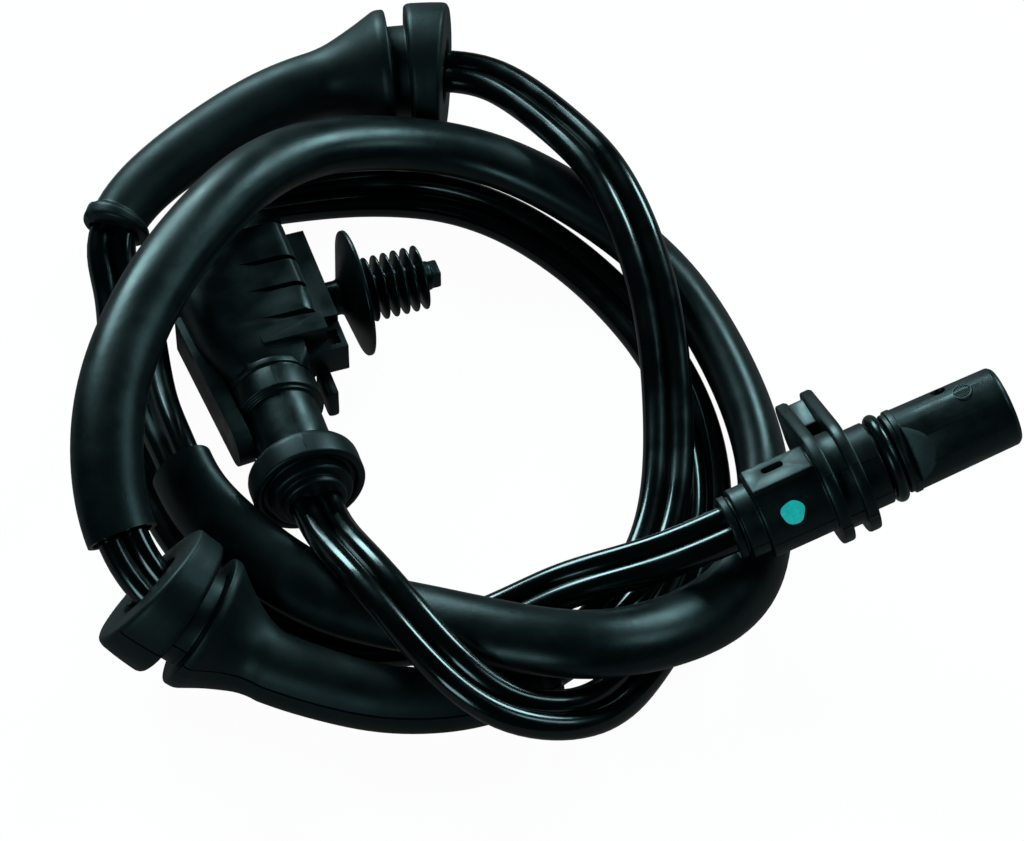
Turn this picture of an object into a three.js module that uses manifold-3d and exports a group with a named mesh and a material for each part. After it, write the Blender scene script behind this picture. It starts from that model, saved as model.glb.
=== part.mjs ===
// Wheel speed sensor on a coiled twin cable: sensing head, two body grommets, a protective
// sleeve, and a plug with a fir-tree clip. Millimetres, +Z up. The origin is the centre of
// the sensing face, and +X is the level direction in which the head points.
import * as THREE from 'three';
import { mergeVertices } from 'three/addons/utils/BufferGeometryUtils.js';
import Module from 'manifold-3d';

const wasm = await Module();
wasm.setup();

// Driving dimensions, in millimetres and degrees.
const gap = 0.3; // between pieces that touch
const overrun = 1; // by which a cutting tool passes the face it cuts

const coreDiameter = 3.8; // one insulated core of the twin cable
const corePitch = 3.4;
const conductorDiameter = 1.3;
const conductorPitch = corePitch;

const headLength = 41.6;
const headTilt = 12; // the tip points upward while the head lies
const headYaw = 21.3; // from the lay's own u direction
const headRoll = -17; // turns the pad toward the far side
const rearExit = [29.3, -30.6, 15.2]; // where the cable leaves the head, in the lay
const cableInset = 4.2; // length of cable inside the head

const lipDiameter = 9;
const lipLength = 1.1;
const collarDiameter = 10;
const collarEnd = 4.2;
const bodyDiameter = 12.2;
const flangeRear = 13.6;
const flangeThickness = 1.6;
const flangePitch = 3.9;
const flangeRoundRadius = 8.3;
const flangeReach = 16.2; // from the axis to the end of the ear
const flangeEndWidth = 9.6;
const flangeCoreDiameter = 13.6;
const bridgeHeight = 7;
const bridgeStart = 9;
const bridgeSetBack = 1.4; // from the ear's end
const rearEarSetBack = 0.5;
const shoulderDiameter = 11.8;
const shoulderEnd = 22.3;
const ringSeatDiameter = 8.4;
const ringSectionDiameter = 1.9;
const stopDiameter = 12;
const stopLength = 1.6;
const tipRootDiameter = 11.7;
const tipDiameter = 11.3;
const scoopDepth = 1.7;
const scoopLength = 3.4;
const padWidth = 4.8;
const padHeight = 0.15;
const padSlotLength = 2.6;
const padSlotWidth = 1.1;
const padSlotDepth = 1;
const moldHoleDiameter = 1.8;
const moldHoleDepth = 1.2;
const moldHoleAt = 33.5;
const moldHoleAngle = 30; // from the pad's direction toward the far side
const chamberDiameter = 7;
const chamberEndWall = 1.2;

const chipSize = [1.1, 4.2, 3.6];
const magnetSize = [4, 4, 3.2];
const stripWidth = 1;
const stripThickness = 0.4;
const carrierLength = 22;
const carrierThickness = 1.6;

const sleeveWidth = 10;
const sleeveHeight = 7.3;
const sleeveWall = 0.7;
const sleeveStart = 392.5;
const sleeveEnd = 688.3;

const grommetFlangeDiameter = 20.5;
const grommetFlangeThickness = 5.7;
const grommetGrooveDiameter = 14;
const grommetGrooveWidth = 2.7;
const grommetLipDiameter = 19.3;
const grommetLipWidth = 1.4;
const grommetConeLength = 7.6;
const grommetTubeDiameter = 10.2;
const grommetTubeEndDiameter = 8.2;
const grommetBeadDiameter = 10;
const grommetBeadWidth = 2.4;
const grommetLength = 59;
const grommetRecessDepth = 2;
const grommetRecessMargin = 1.6;
const upperFlangeAt = 203.2; // arc length of each flange face along the cable
const lowerFlangeAt = 385.2;

const plugYaw = 18.6; // from the lay's v direction
const plugPitch = -3;
const plugRoll = 1;
const plugAt = [-27.7, -21.2, 11.6]; // centre of the boot's rear face, in the lay
const bootDiameter = 16;
const bootThickness = 4.6;
const bootInnerDiameter = 10.6;
const neckDiameter = 10.8;
const neckEnd = 14.6;
const plugCollarDiameter = 12.8;
const housingStart = 18.6;
const housingEnd = 44.4;
const housingWidth = 19.4;
const housingHeight = 14.6;
const housingCorner = 3.6;
const housingWall = 1.5;
const housingRight = 9.4; // from the axis to the side that carries the clip
const rearWidthRight = 5.8;
const shoulderLength = 6.2; // the narrow stretch behind the grips
const noseLength = 8.4; // the narrower stretch in front
const noseSetBack = 2.2;
const rearLoftLength = 10; // from the round collar to the full section
const keelLength = 5.4; // the side plate, behind the housing
const keelReach = 8.4; // from the axis to the side plate's outer face
const keelThickness = 1.5;
const keelHeight = 6.2;
const keelFront = 6; // by which the side plate runs along the housing
const socketDepth = 16;
const gripCount = 3;
const gripStart = 7; // from the housing's rear
const gripPitch = 5.4;
const gripGroove = 0.8;
const gripLength = 7.8;
const gripDepth = 1.1;
const carrierWidth = 9.6;
const carrierHeight = 6.4;
const lockReach = 4.5; // by which the lock's tab stands out sideways
const lockThickness = 2.2;
const carrierNose = 3.2; // by which the contact carrier stands out of the housing
const contactPitch = 5;
const contactCell = 2.6;
const contactSize = 2;
const contactLength = 12;
const frontSealWall = 0.9;
const frontSealLength = 2;
const wireSealDiameter = 4.6;
const wireSealLength = 5;
const plugCableInset = 15.5; // length of cable inside the boot and neck
const railThickness = 0.8;
const railLip = 1.4; // overlap of each rail's lip with the clip's base
const railStart = 25.4;
const railEnd = 42.6;
const bracketLength = 4.4;
const bracketLow = -0.6;
const bracketHigh = 4.2;
const bracketWindow = 1.8;
const lockTabLength = 6.8;
const lockTabThickness = 1.5;

const clipAt = 33; // along the plug, from the boot's rear face
const clipLift = 0.4;
const clipBase = [9, 8, 1.1]; // along the plug, up, across
const clipNeckDiameter = 5;
const clipNeckLength = 2;
const clipDishDiameter = 18.4;
const clipDishDepth = 3.3;
const clipDishWall = 1;
const clipStemDiameter = 4.4;
const clipFinDiameter = 9;
const clipFinThickness = 0.55;
const clipFinPitch = 1.5;
const clipFinCount = 7;
const clipTipLength = 2.6;

// The cable's route from the head to the plug: u to the right, v away, w up from the
// surface that it lies on, and the roll of its flat side in degrees.
const toUpperGrommet = [
  [19.5, -34, 12.9, 0], [13, -35.2, 11.5, 0], [6.5, -35.8, 9.2, 0], [0, -37.3, 5.6, 0],
  [-8, -39.5, 2.9, 0], [-15.5, -40.5, 2.2, 0], [-23, -40.5, 2.2, 0], [-30.5, -37.5, 2.2, 0],
  [-37.5, -31.5, 2.2, 0], [-43.5, -26, 2.2, 0], [-48, -18.5, 2.2, 0], [-51.5, -10, 2.2, 0],
  [-53.8, -2, 2.2, 0], [-55.4, 7, 2.2, 0], [-56.4, 15, 2.2, 0], [-57, 21.5, 3.2, 0],
];
const inUpperGrommet = [
  [-59.4, 28.6, 5.6, 0], [-56, 35.6, 7.2, 0], [-50.4, 41.4, 8.4, 0], [-43.8, 47, 9.2, 0],
  [-36.4, 52.2, 10, 0], [-28, 55.9, 10.4, 0], [-19.3, 57.3, 10.6, 0], [-10.6, 58.3, 10.6, 0],
];
const toLowerGrommet = [
  [-3.4, 56.8, 10.9, 0], [2.4, 50.6, 12.4, 0], [7.6, 43.6, 13.8, 0], [13, 35, 15.8, 0], [17, 25, 15.4, 0],
  [20, 15, 13, 0], [21.5, 6, 10.5, 0], [22, -2.5, 8, 0], [22, -12.5, 7, 0],
  [21, -22, 6.6, 0], [18.3, -30.5, 6.3, 0], [14, -37.2, 6, 0], [9.3, -42.7, 5.4, 0],
];
const inLowerGrommet = [
  [3, -47.8, 5.2, 0], [-4, -51, 5.1, 0], [-11, -52, 5.2, 0], [-18, -51.7, 5.4, 0],
  [-24.5, -50, 5.8, 0], [-31, -47.9, 6.3, 0], [-37.7, -45.1, 7.5, 0], [-43.5, -42.1, 10.2, 0],
  [-49.1, -38.6, 13.8, 0],
];
const inSleeve = [
  [-52.5, -34, 17, 0], [-54.5, -27.5, 19.5, 0], [-55.3, -19.5, 21.4, 0],
  [-54.7, -11, 22.6, 0], [-52.7, -2.5, 23, 0], [-49.7, 6, 23.3, 0], [-45.5, 14.5, 23.2, 0],
  [-39.5, 25, 22, 0], [-33.3, 32.8, 19.6, 4], [-26, 38.8, 16, 10],
  [-17, 42.5, 12, 20], [-8, 43, 10, 25], [1, 40.5, 8.5, 30], [9.5, 35.5, 7, 40],
  [17, 29.3, 6, 50], [22.7, 23, 5.4, 60], [27.2, 15.5, 5, 70], [32, 3.5, 5, 74],
  [35, -8.5, 5, 74], [35.6, -19.5, 5, 70], [33.8, -29.8, 4.7, 46],
  [28.2, -39, 7.6, 28], [18.5, -47, 12.6, 4], [9, -49.8, 14.8, 0],
  [-1, -47.3, 13.9, 0], [-11, -43.3, 11.8, 8], [-19, -40, 9.5, 16],
  [-27, -36.4, 8.2, 16], [-36.3, -29.3, 8.9, 26], [-43.8, -21.6, 9.8, 46],
  [-46.7, -13.5, 9.8, 46],
];
const toPlug = [
  [-50, -5.5, 8.8, 36], [-51.6, 2, 8.4, 30], [-52.9, 10.5, 8.4, 40], [-53.3, 18.5, 9, 70],
  [-51.7, 25.4, 7.6, 80], [-48.7, 30.6, 5, 76], [-45, 34.6, 3.4, 40], [-39.8, 37.6, 2.5, 10],
  [-32, 39.8, 2.3, -8], [-24, 40.8, 2.5, -18], [-16, 40.8, 2.6, -24], [-8, 39.5, 2.6, -20], [1, 35, 2.5, -10], [9.5, 27.5, 2.3, 0],
  [16, 19.5, 2.2, 0], [21.2, 11, 2.2, 0], [25, 1.5, 2.2, 0], [27, -7.5, 2.2, 0],
  [27.4, -16.5, 2.2, 0], [26.4, -24.5, 2.2, 0], [23.8, -32, 2.2, 0], [20.7, -39.1, 2.2, 4],
  [17.2, -45.6, 3, 18], [13.8, -52, 5.6, 26], [8.6, -57, 9, 12], [1, -58.6, 12, 0],
  [-5, -56.4, 14.6, 0], [-10.3, -52, 17, 0], [-15.6, -45, 18, 0],
  [-20.6, -37.4, 17, 0],
];

const radians = THREE.MathUtils.degToRad;

// A closed geometry as a solid for joining and cutting, and back.
function solid(geometry) {
  const bare = geometry.clone();
  bare.deleteAttribute('normal');
  bare.deleteAttribute('uv');
  const merged = mergeVertices(bare, 1e-4);
  const index = merged.index.array;
  const corners = [];
  for (let i = 0; i < index.length; i += 3) {
    const [a, b, c] = [index[i], index[i + 1], index[i + 2]];
    if (a !== b && b !== c && c !== a) corners.push(a, b, c);
  }
  return new wasm.Manifold(new wasm.Mesh({
    numProp: 3,
    vertProperties: new Float32Array(merged.attributes.position.array),
    triVerts: new Uint32Array(corners),
  }));
}

function join(...pieces) {
  return pieces.slice(1).reduce((whole, piece) => whole.add(piece), pieces[0]);
}

function cut(body, ...tools) {
  return tools.reduce((rest, tool) => rest.subtract(tool), body);
}

function geometryOf(body) {
  const mesh = body.getMesh();
  const geometry = new THREE.BufferGeometry();
  geometry.setAttribute('position', new THREE.BufferAttribute(mesh.vertProperties, 3));
  geometry.setIndex(new THREE.BufferAttribute(mesh.triVerts, 1));
  geometry.computeVertexNormals();
  return geometry;
}

// Basic forms. The long axis of each is +X.
function turned(profile, segments = 32) {
  const outline = profile.map(([x, r]) => new THREE.Vector2(r, x));
  return new THREE.LatheGeometry(outline, segments).rotateZ(-Math.PI / 2);
}

function rod(start, end, diameter, segments = 24) {
  return turned([[start, 0], [start, diameter / 2], [end, diameter / 2], [end, 0]], segments);
}

function block(low, high) {
  const size = high.map((value, axis) => value - low[axis]);
  const middle = high.map((value, axis) => (value + low[axis]) / 2);
  return new THREE.BoxGeometry(...size).translate(...middle);
}

// Extrudes an outline drawn across (y) and up (z) from x = start to x = end.
function prism(outline, start, end, curveSegments = 8, steps = 1) {
  const geometry = new THREE.ExtrudeGeometry(outline, {
    depth: end - start, steps, bevelEnabled: false, curveSegments,
  });
  const turn = new THREE.Matrix4().makeBasis(
    new THREE.Vector3(0, 1, 0), new THREE.Vector3(0, 0, 1), new THREE.Vector3(1, 0, 0),
  );
  return geometry.applyMatrix4(turn).translate(start, 0, 0);
}

function roundedOutline(width, height, radius) {
  const shape = new THREE.Shape();
  const [x, y, r] = [width / 2, height / 2, radius];
  shape.moveTo(-x + r, -y).lineTo(x - r, -y).absarc(x - r, -y + r, r, -Math.PI / 2, 0);
  shape.lineTo(x, y - r).absarc(x - r, y - r, r, 0, Math.PI / 2);
  shape.lineTo(-x + r, y).absarc(-x + r, y - r, r, Math.PI / 2, Math.PI);
  shape.lineTo(-x, -y + r).absarc(-x + r, -y + r, r, Math.PI, Math.PI * 1.5);
  return shape;
}

function ovalOutline(width, height, sides) {
  const corners = [];
  for (let i = 0; i < sides; i += 1) {
    const angle = ((i + 0.5) / sides) * 2 * Math.PI;
    corners.push(new THREE.Vector2(width / 2 * Math.cos(angle), height / 2 * Math.sin(angle)));
  }
  return corners;
}

// The twin cable's section, two cores side by side, grown by a margin all round.
function twinOutline(margin = 0) {
  const radius = coreDiameter / 2 + margin;
  const middle = corePitch / 2;
  const corners = [];
  for (const [side, start] of [[1, -72], [-1, 108]]) {
    for (let step = 0; step < 4; step += 1) {
      const angle = radians(start + step * 48);
      corners.push(new THREE.Vector2(
        side * middle + radius * Math.cos(angle), radius * Math.sin(angle),
      ));
    }
    const waist = 0.8 * radius * (side > 0 ? 1 : -1);
    corners.push(new THREE.Vector2(0, waist));
  }
  return new THREE.Shape(corners);
}

// The head's and the plug's places in the lay.
const tilt = radians(headTilt);
const yaw = radians(headYaw);
const headDirection = new THREE.Vector3(
  Math.cos(tilt) * Math.cos(yaw), Math.cos(tilt) * Math.sin(yaw), Math.sin(tilt),
);
const plugDirection = new THREE.Vector3(
  -Math.cos(radians(plugPitch)) * Math.sin(radians(plugYaw)),
  Math.cos(radians(plugPitch)) * Math.cos(radians(plugYaw)),
  Math.sin(radians(plugPitch)),
);

function onAxis(origin, direction, distance) {
  const point = new THREE.Vector3(...origin).addScaledVector(direction, distance);
  return [point.x, point.y, point.z, 0];
}

const leadIn = [2 * cableInset, cableInset, 0, -cableInset].map(
  (distance) => onAxis(rearExit, headDirection, distance),
);
const leadOut = [-0.5, 0, 0.5, 1, 1.5].map(
  (share) => onAxis(plugAt, plugDirection, share * plugCableInset),
);

// The route as a uniform cubic B-spline with frames that follow the chosen roll.
class Route {
  constructor(controls) {
    this.controls = controls;
    this.spans = controls.length - 3;
    this.samples = 24 * this.spans;
    this.lengths = [0];
    let last = this.point(0);
    for (let i = 1; i <= this.samples; i += 1) {
      const next = this.point(i / this.samples);
      this.lengths.push(this.lengths[i - 1] + next.distanceTo(last));
      last = next;
    }
    this.length = this.lengths[this.samples];
  }

  blend(t) {
    const place = Math.min(Math.max(t, 0), 1) * this.spans;
    const span = Math.min(Math.floor(place), this.spans - 1);
    const s = place - span;
    const weights = [
      (1 - s) ** 3 / 6,
      (3 * s ** 3 - 6 * s ** 2 + 4) / 6,
      (-3 * s ** 3 + 3 * s ** 2 + 3 * s + 1) / 6,
      s ** 3 / 6,
    ];
    return [0, 1, 2, 3].map((axis) => weights.reduce(
      (sum, weight, i) => sum + weight * this.controls[span + i][axis], 0,
    ));
  }

  point(t) {
    return new THREE.Vector3(...this.blend(t).slice(0, 3));
  }

  parameter(distance) {
    const wanted = Math.min(Math.max(distance, 0), this.length);
    let i = this.lengths.findIndex((length) => length >= wanted);
    i = Math.max(i, 1);
    const [low, high] = [this.lengths[i - 1], this.lengths[i]];
    return (i - 1 + (wanted - low) / (high - low)) / this.samples;
  }

  // Origin, direction, flat side and thickness direction at an arc length.
  frame(distance) {
    const t = this.parameter(distance);
    const step = 0.25 / this.samples;
    const along = this.point(t + step).sub(this.point(t - step)).normalize();
    const side = new THREE.Vector3().crossVectors(along, new THREE.Vector3(0, 0, 1)).normalize();
    const up = new THREE.Vector3().crossVectors(side, along);
    const roll = radians(this.blend(t)[3]);
    const wide = side.clone().multiplyScalar(Math.cos(roll)).addScaledVector(up, Math.sin(roll));
    return { at: this.point(t), along, wide, thick: new THREE.Vector3().crossVectors(along, wide) };
  }
}

const route = new Route([
  ...leadIn, ...toUpperGrommet, ...inUpperGrommet, ...toLowerGrommet, ...inLowerGrommet,
  ...inSleeve, ...toPlug, ...leadOut,
]);

// A stretch of the route, as a curve that an outline can be extruded along.
class Stretch extends THREE.Curve {
  constructor(stations) {
    super();
    this.frames = stations.map((distance) => route.frame(distance));
  }

  getSpacedPoints() {
    return this.frames.map((frame) => frame.at);
  }

  computeFrenetFrames() {
    return {
      tangents: this.frames.map((frame) => frame.along),
      normals: this.frames.map((frame) => frame.wide),
      binormals: this.frames.map((frame) => frame.thick),
    };
  }
}

function swept(outline, stations) {
  return new THREE.ExtrudeGeometry(outline, {
    steps: stations.length - 1, extrudePath: new Stretch(stations),
  });
}

// Stations are closer together in bends and where the cable runs in a tube.
const longestTurn = 24; // degrees between stations
const fineStep = 10;
const looseStep = 16;
const beadOf = (flangeAt) => flangeAt - grommetLength;
const marks = [
  [0, looseStep], [cableInset, looseStep], [beadOf(upperFlangeAt) - overrun, fineStep],
  [upperFlangeAt + overrun, looseStep], [beadOf(lowerFlangeAt) - overrun, fineStep],
  [sleeveStart, fineStep], [sleeveEnd, looseStep],
  [route.length - plugCableInset / 2, looseStep], [route.length, looseStep],
];

function stationsOfCable() {
  const stations = [marks[0][0]];
  for (let i = 1; i < marks.length; i += 1) {
    const [start, step] = marks[i - 1];
    const slices = Math.ceil(marks[i][0] - start);
    const width = (marks[i][0] - start) / slices;
    const effort = [0];
    for (let k = 0; k < slices; k += 1) {
      const [from, to] = [route.frame(start + k * width), route.frame(start + (k + 1) * width)];
      const turn = Math.max(from.along.angleTo(to.along), from.wide.angleTo(to.wide));
      effort.push(effort[k] + Math.max(width / step, turn / radians(longestTurn)));
    }
    const count = Math.max(Math.round(effort[slices]), 1);
    for (let k = 1; k < count; k += 1) {
      const place = effort.findIndex((value) => value >= effort[slices] * k / count);
      stations.push(start + width * place);
    }
    stations.push(marks[i][0]);
  }
  return stations;
}

const cableStations = stationsOfCable();

function stationsBetween(start, end) {
  const inner = cableStations.filter((distance) => distance > start && distance < end);
  return [start, ...inner, end];
}

// The cable's chord at an arc length, so that bent pieces sit round the faceted cable.
function chordFrame(distance) {
  const next = cableStations.findIndex((station) => station >= distance);
  const [low, high] = [cableStations[next - 1], cableStations[next]];
  const frame = route.frame(distance);
  const share = (distance - low) / (high - low);
  frame.at = route.frame(low).at.lerp(route.frame(high).at, share);
  return frame;
}

// Bends a form that stands along +X onto the route: x = 0 lies at an arc length and
// x grows against the cable's direction.
function bentBack(geometry, zeroAt) {
  const place = geometry.attributes.position;
  for (let i = 0; i < place.count; i += 1) {
    const frame = chordFrame(zeroAt - place.getX(i));
    const point = frame.at.clone().addScaledVector(frame.wide, place.getY(i));
    point.addScaledVector(frame.thick, -place.getZ(i));
    place.setXYZ(i, point.x, point.y, point.z);
  }
  return geometry;
}

const parts = new THREE.Group();
const lay = new THREE.Group();
const head = new THREE.Group();
const plug = new THREE.Group();

const finishes = {
  plastic: { color: 0x14191b, roughness: 0.5, metalness: 0 },
  rubber: { color: 0x101416, roughness: 0.75, metalness: 0 },
  cable: { color: 0x08090a, roughness: 0.2, metalness: 0 },
  ring: { color: 0x0b0c0d, roughness: 0.35, metalness: 0 },
  brass: { color: 0xb08a45, roughness: 0.35, metalness: 1 },
  copper: { color: 0xb06a42, roughness: 0.4, metalness: 1 },
  magnet: { color: 0x50545a, roughness: 0.4, metalness: 1 },
  chip: { color: 0x1b1b1d, roughness: 0.6, metalness: 0 },
};

function add(group, name, finish, geometry) {
  const mesh = new THREE.Mesh(geometry, new THREE.MeshStandardMaterial(finishes[finish]));
  mesh.name = name;
  group.add(mesh);
  return mesh;
}

// The sensing head. Its own frame starts at the rear lip, with +X toward the tip, and
// +Z through the pad.
const stopStart = shoulderEnd + ringSectionDiameter + 2 * gap;
const stopEnd = stopStart + stopLength;

function flange(start, reach = flangeReach) {
  const round = rod(start, start + flangeThickness, 2 * flangeRoundRadius, 36);
  const slope = Math.asin((flangeRoundRadius - flangeEndWidth / 2) / reach);
  const [tangentY, tangentZ] = [flangeRoundRadius * Math.sin(slope), flangeRoundRadius * Math.cos(slope)];
  const chamfer = flangeEndWidth / 5;
  const ear = new THREE.Shape();
  ear.moveTo(tangentY, tangentZ).lineTo(reach - chamfer, flangeEndWidth / 2);
  ear.lineTo(reach, flangeEndWidth / 2 - chamfer);
  ear.lineTo(reach, chamfer - flangeEndWidth / 2);
  ear.lineTo(reach - chamfer, -flangeEndWidth / 2).lineTo(tangentY, -tangentZ);
  return join(solid(round), solid(prism(ear, start, start + flangeThickness)));
}

function scoop() {
  const slope = Math.atan2(scoopDepth, scoopLength);
  const tool = block([0, -tipDiameter, 0], [2 * scoopLength, tipDiameter, tipDiameter]);
  tool.rotateY(-slope).translate(stopEnd, 0, tipRootDiameter / 2 - scoopDepth);
  const keep = block([stopEnd, -tipDiameter, 0], [headLength, tipDiameter, tipDiameter]);
  return solid(tool).intersect(solid(keep)).rotate([62, 0, 0]);
}

function sensorHousing() {
  const lip = lipDiameter / 2;
  const neck = lip - 0.4;
  const tipEdge = 0.4;
  const shell = solid(turned([
    [0, 0], [0, lip], [lipLength, lip], [lipLength, neck], [lipLength + 0.5, neck],
    [lipLength + 0.5, collarDiameter / 2], [collarEnd, collarDiameter / 2],
    [collarEnd, bodyDiameter / 2], [flangeRear, bodyDiameter / 2],
    [flangeRear, flangeCoreDiameter / 2],
    [flangeRear + flangePitch + flangeThickness, flangeCoreDiameter / 2],
    [flangeRear + flangePitch + flangeThickness, shoulderDiameter / 2],
    [shoulderEnd, shoulderDiameter / 2], [shoulderEnd, ringSeatDiameter / 2],
    [stopStart, ringSeatDiameter / 2], [stopStart, stopDiameter / 2],
    [stopEnd, stopDiameter / 2], [stopEnd, tipRootDiameter / 2],
    [headLength - tipEdge, tipDiameter / 2], [headLength, tipDiameter / 2 - tipEdge],
    [headLength, 0],
  ], 36));
  const bridge = solid(block(
    [flangeRear + flangeThickness / 2, bridgeStart, -bridgeHeight / 2],
    [flangeRear + flangePitch + flangeThickness / 2, flangeReach - bridgeSetBack, bridgeHeight / 2],
  ));
  const padTop = bodyDiameter / 2 + padHeight;
  const pad = solid(block([collarEnd + 0.4, -padWidth / 2, 0], [flangeRear - 1, padWidth / 2, padTop]));
  const slotMiddle = (collarEnd + flangeRear) / 2 - 0.6;
  const slot = solid(block(
    [slotMiddle - padSlotLength / 2, -padSlotWidth / 2 + 1, padTop - padSlotDepth],
    [slotMiddle + padSlotLength / 2, padSlotWidth / 2 + 1, padTop + overrun],
  ));
  const moldHole = solid(rod(0, tipDiameter, moldHoleDiameter, 16).rotateY(-Math.PI / 2)
    .translate(moldHoleAt, 0, tipDiameter / 2 - moldHoleDepth)).rotate([-moldHoleAngle, 0, 0]);
  const chamberStart = cableInset + gap;
  const chamber = solid(rod(chamberStart, headLength - chamberEndWall, chamberDiameter));
  const throat = solid(prism(twinOutline(gap), -overrun, chamberStart + overrun))
    .rotate([-headRoll, 0, 0]);
  const outer = join(shell, flange(flangeRear, flangeReach - rearEarSetBack), flange(flangeRear + flangePitch), bridge, pad);
  return cut(outer, slot, moldHole, scoop(), chamber, throat);
}

const chipEnd = headLength - chamberEndWall - gap;
const chipStart = chipEnd - chipSize[0];
const magnetEnd = chipStart - gap;
const carrierEnd = magnetEnd;
const carrierStart = carrierEnd - carrierLength;
const carrierTop = -magnetSize[2] / 2 - gap;

function carrier() {
  const outer = solid(rod(carrierStart, carrierEnd, chamberDiameter - 2 * gap));
  const side = chamberDiameter;
  const above = solid(block([carrierStart - overrun, -side, carrierTop], [carrierEnd + overrun, side, side]));
  const deck = carrierTop + stripThickness;
  const pocket = carrierEnd - magnetSize[0] - gap;
  const shelf = solid(block(
    [carrierStart, -magnetSize[1] / 2 - gap, carrierTop - carrierThickness / 2],
    [pocket - gap, magnetSize[1] / 2 + gap, deck],
  ));
  return join(cut(outer, above), shelf.intersect(outer));
}

function buildHead() {
  add(head, 'sensor_housing', 'plastic', geometryOf(sensorHousing()));
  const ringRadius = ringSeatDiameter / 2 + gap + ringSectionDiameter / 2;
  const ring = new THREE.TorusGeometry(ringRadius, ringSectionDiameter / 2, 10, 36);
  add(head, 'sensor_o_ring', 'ring', ring.rotateY(Math.PI / 2))
    .position.x = shoulderEnd + gap + ringSectionDiameter / 2;
  add(head, 'element_carrier', 'plastic', geometryOf(carrier()));
  add(head, 'bias_magnet', 'magnet', new THREE.BoxGeometry(...magnetSize))
    .position.x = magnetEnd - magnetSize[0] / 2;
  add(head, 'hall_chip', 'chip', new THREE.BoxGeometry(...chipSize))
    .position.x = chipStart + chipSize[0] / 2;
  const stripZ = carrierTop + stripThickness + gap + stripThickness / 2;
  const stripEnd = carrierEnd - magnetSize[0] - 2 * gap;
  const stripStart = cableInset + 5;
  const coreEnd = stripStart - gap;
  const coreStart = cableInset + gap;
  [-1, 1].forEach((side, i) => {
    const strip = new THREE.BoxGeometry(stripEnd - stripStart, stripWidth, stripThickness);
    add(head, `lead_strip_${i + 1}`, 'copper', strip)
      .position.set((stripStart + stripEnd) / 2, side * conductorPitch / 2 * 0.8, stripZ);
    const core = rod(coreStart, coreEnd, conductorDiameter, 12);
    add(head, `head_conductor_${i + 1}`, 'copper', core)
      .position.set(0, side * conductorPitch / 2 * 0.8, stripZ);
  });
}

// The twin cable, its sleeve and the two grommets lie on the route.
function grommetProfile() {
  const flangeEdge = 0.9;
  const [flangeR, lipR] = [grommetFlangeDiameter / 2, grommetLipDiameter / 2];
  const grooveEnd = grommetFlangeThickness + grommetGrooveWidth;
  const coneStart = grooveEnd + grommetLipWidth;
  const tubeStart = coneStart + grommetConeLength;
  const beadStart = grommetLength - grommetBeadWidth;
  const [tubeR, endR] = [grommetTubeDiameter / 2, grommetTubeEndDiameter / 2];
  const profile = [
    [0, 0], [0, flangeR - flangeEdge], [flangeEdge, flangeR],
    [grommetFlangeThickness - flangeEdge, flangeR],
    [grommetFlangeThickness, flangeR - flangeEdge],
    [grommetFlangeThickness, grommetGrooveDiameter / 2], [grooveEnd, grommetGrooveDiameter / 2],
    [grooveEnd, lipR - 0.7], [grooveEnd + 0.6, lipR], [coneStart, lipR],
    [coneStart + grommetConeLength * 0.55, lipR - (lipR - tubeR) * 0.7],
  ];
  const steps = 7;
  for (let i = 0; i <= steps; i += 1) {
    const share = i / steps;
    profile.push([tubeStart + (beadStart - tubeStart) * share, tubeR + (endR - tubeR) * share]);
  }
  const beadR = grommetBeadDiameter / 2;
  profile.push(
    [beadStart + grommetBeadWidth * 0.2, beadR], [beadStart + grommetBeadWidth * 0.8, beadR],
    [grommetLength, endR], [grommetLength, 0],
  );
  return profile;
}

function grommet(flangeAt) {
  const body = solid(bentBack(turned(grommetProfile(), 24), flangeAt));
  const bore = solid(swept(
    twinOutline(gap), stationsBetween(beadOf(flangeAt) - overrun, flangeAt + overrun),
  ));
  const width = corePitch + coreDiameter + 2 * grommetRecessMargin;
  const height = coreDiameter + 2 * grommetRecessMargin;
  const recessOutline = roundedOutline(width, height, height / 2 - 0.1);
  const recess = solid(bentBack(
    prism(recessOutline, -overrun / 2, grommetRecessDepth, 4), flangeAt,
  ));
  return cut(body, bore, recess);
}

function sleeveOutline() {
  const outline = new THREE.Shape(ovalOutline(sleeveWidth, sleeveHeight, 16));
  const hollow = ovalOutline(sleeveWidth - 2 * sleeveWall, sleeveHeight - 2 * sleeveWall, 12);
  outline.holes.push(new THREE.Path(hollow));
  return outline;
}

function buildHarness() {
  add(lay, 'twin_cable', 'cable', swept(twinOutline(), cableStations));
  add(lay, 'protective_sleeve', 'rubber', swept(sleeveOutline(), stationsBetween(sleeveStart, sleeveEnd)));
  add(lay, 'upper_grommet', 'rubber', geometryOf(grommet(upperFlangeAt)));
  add(lay, 'lower_grommet', 'rubber', geometryOf(grommet(lowerFlangeAt)));
}

// The plug. Its own frame starts at the boot's rear face, with +X toward the mating end.
const socketFloor = housingEnd - socketDepth;
const carrierBack = socketFloor - 6;
const contactBack = carrierBack + 2;
const sealBack = carrierBack - gap - wireSealLength;

// An outline drawn along (x) and across (y), extruded from low to high.
function plate(corners, low, high) {
  const outline = new THREE.Shape(corners.map(([x, y]) => new THREE.Vector2(x, y)));
  return new THREE.ExtrudeGeometry(outline, { depth: high - low, bevelEnabled: false })
    .translate(0, 0, low);
}

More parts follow.
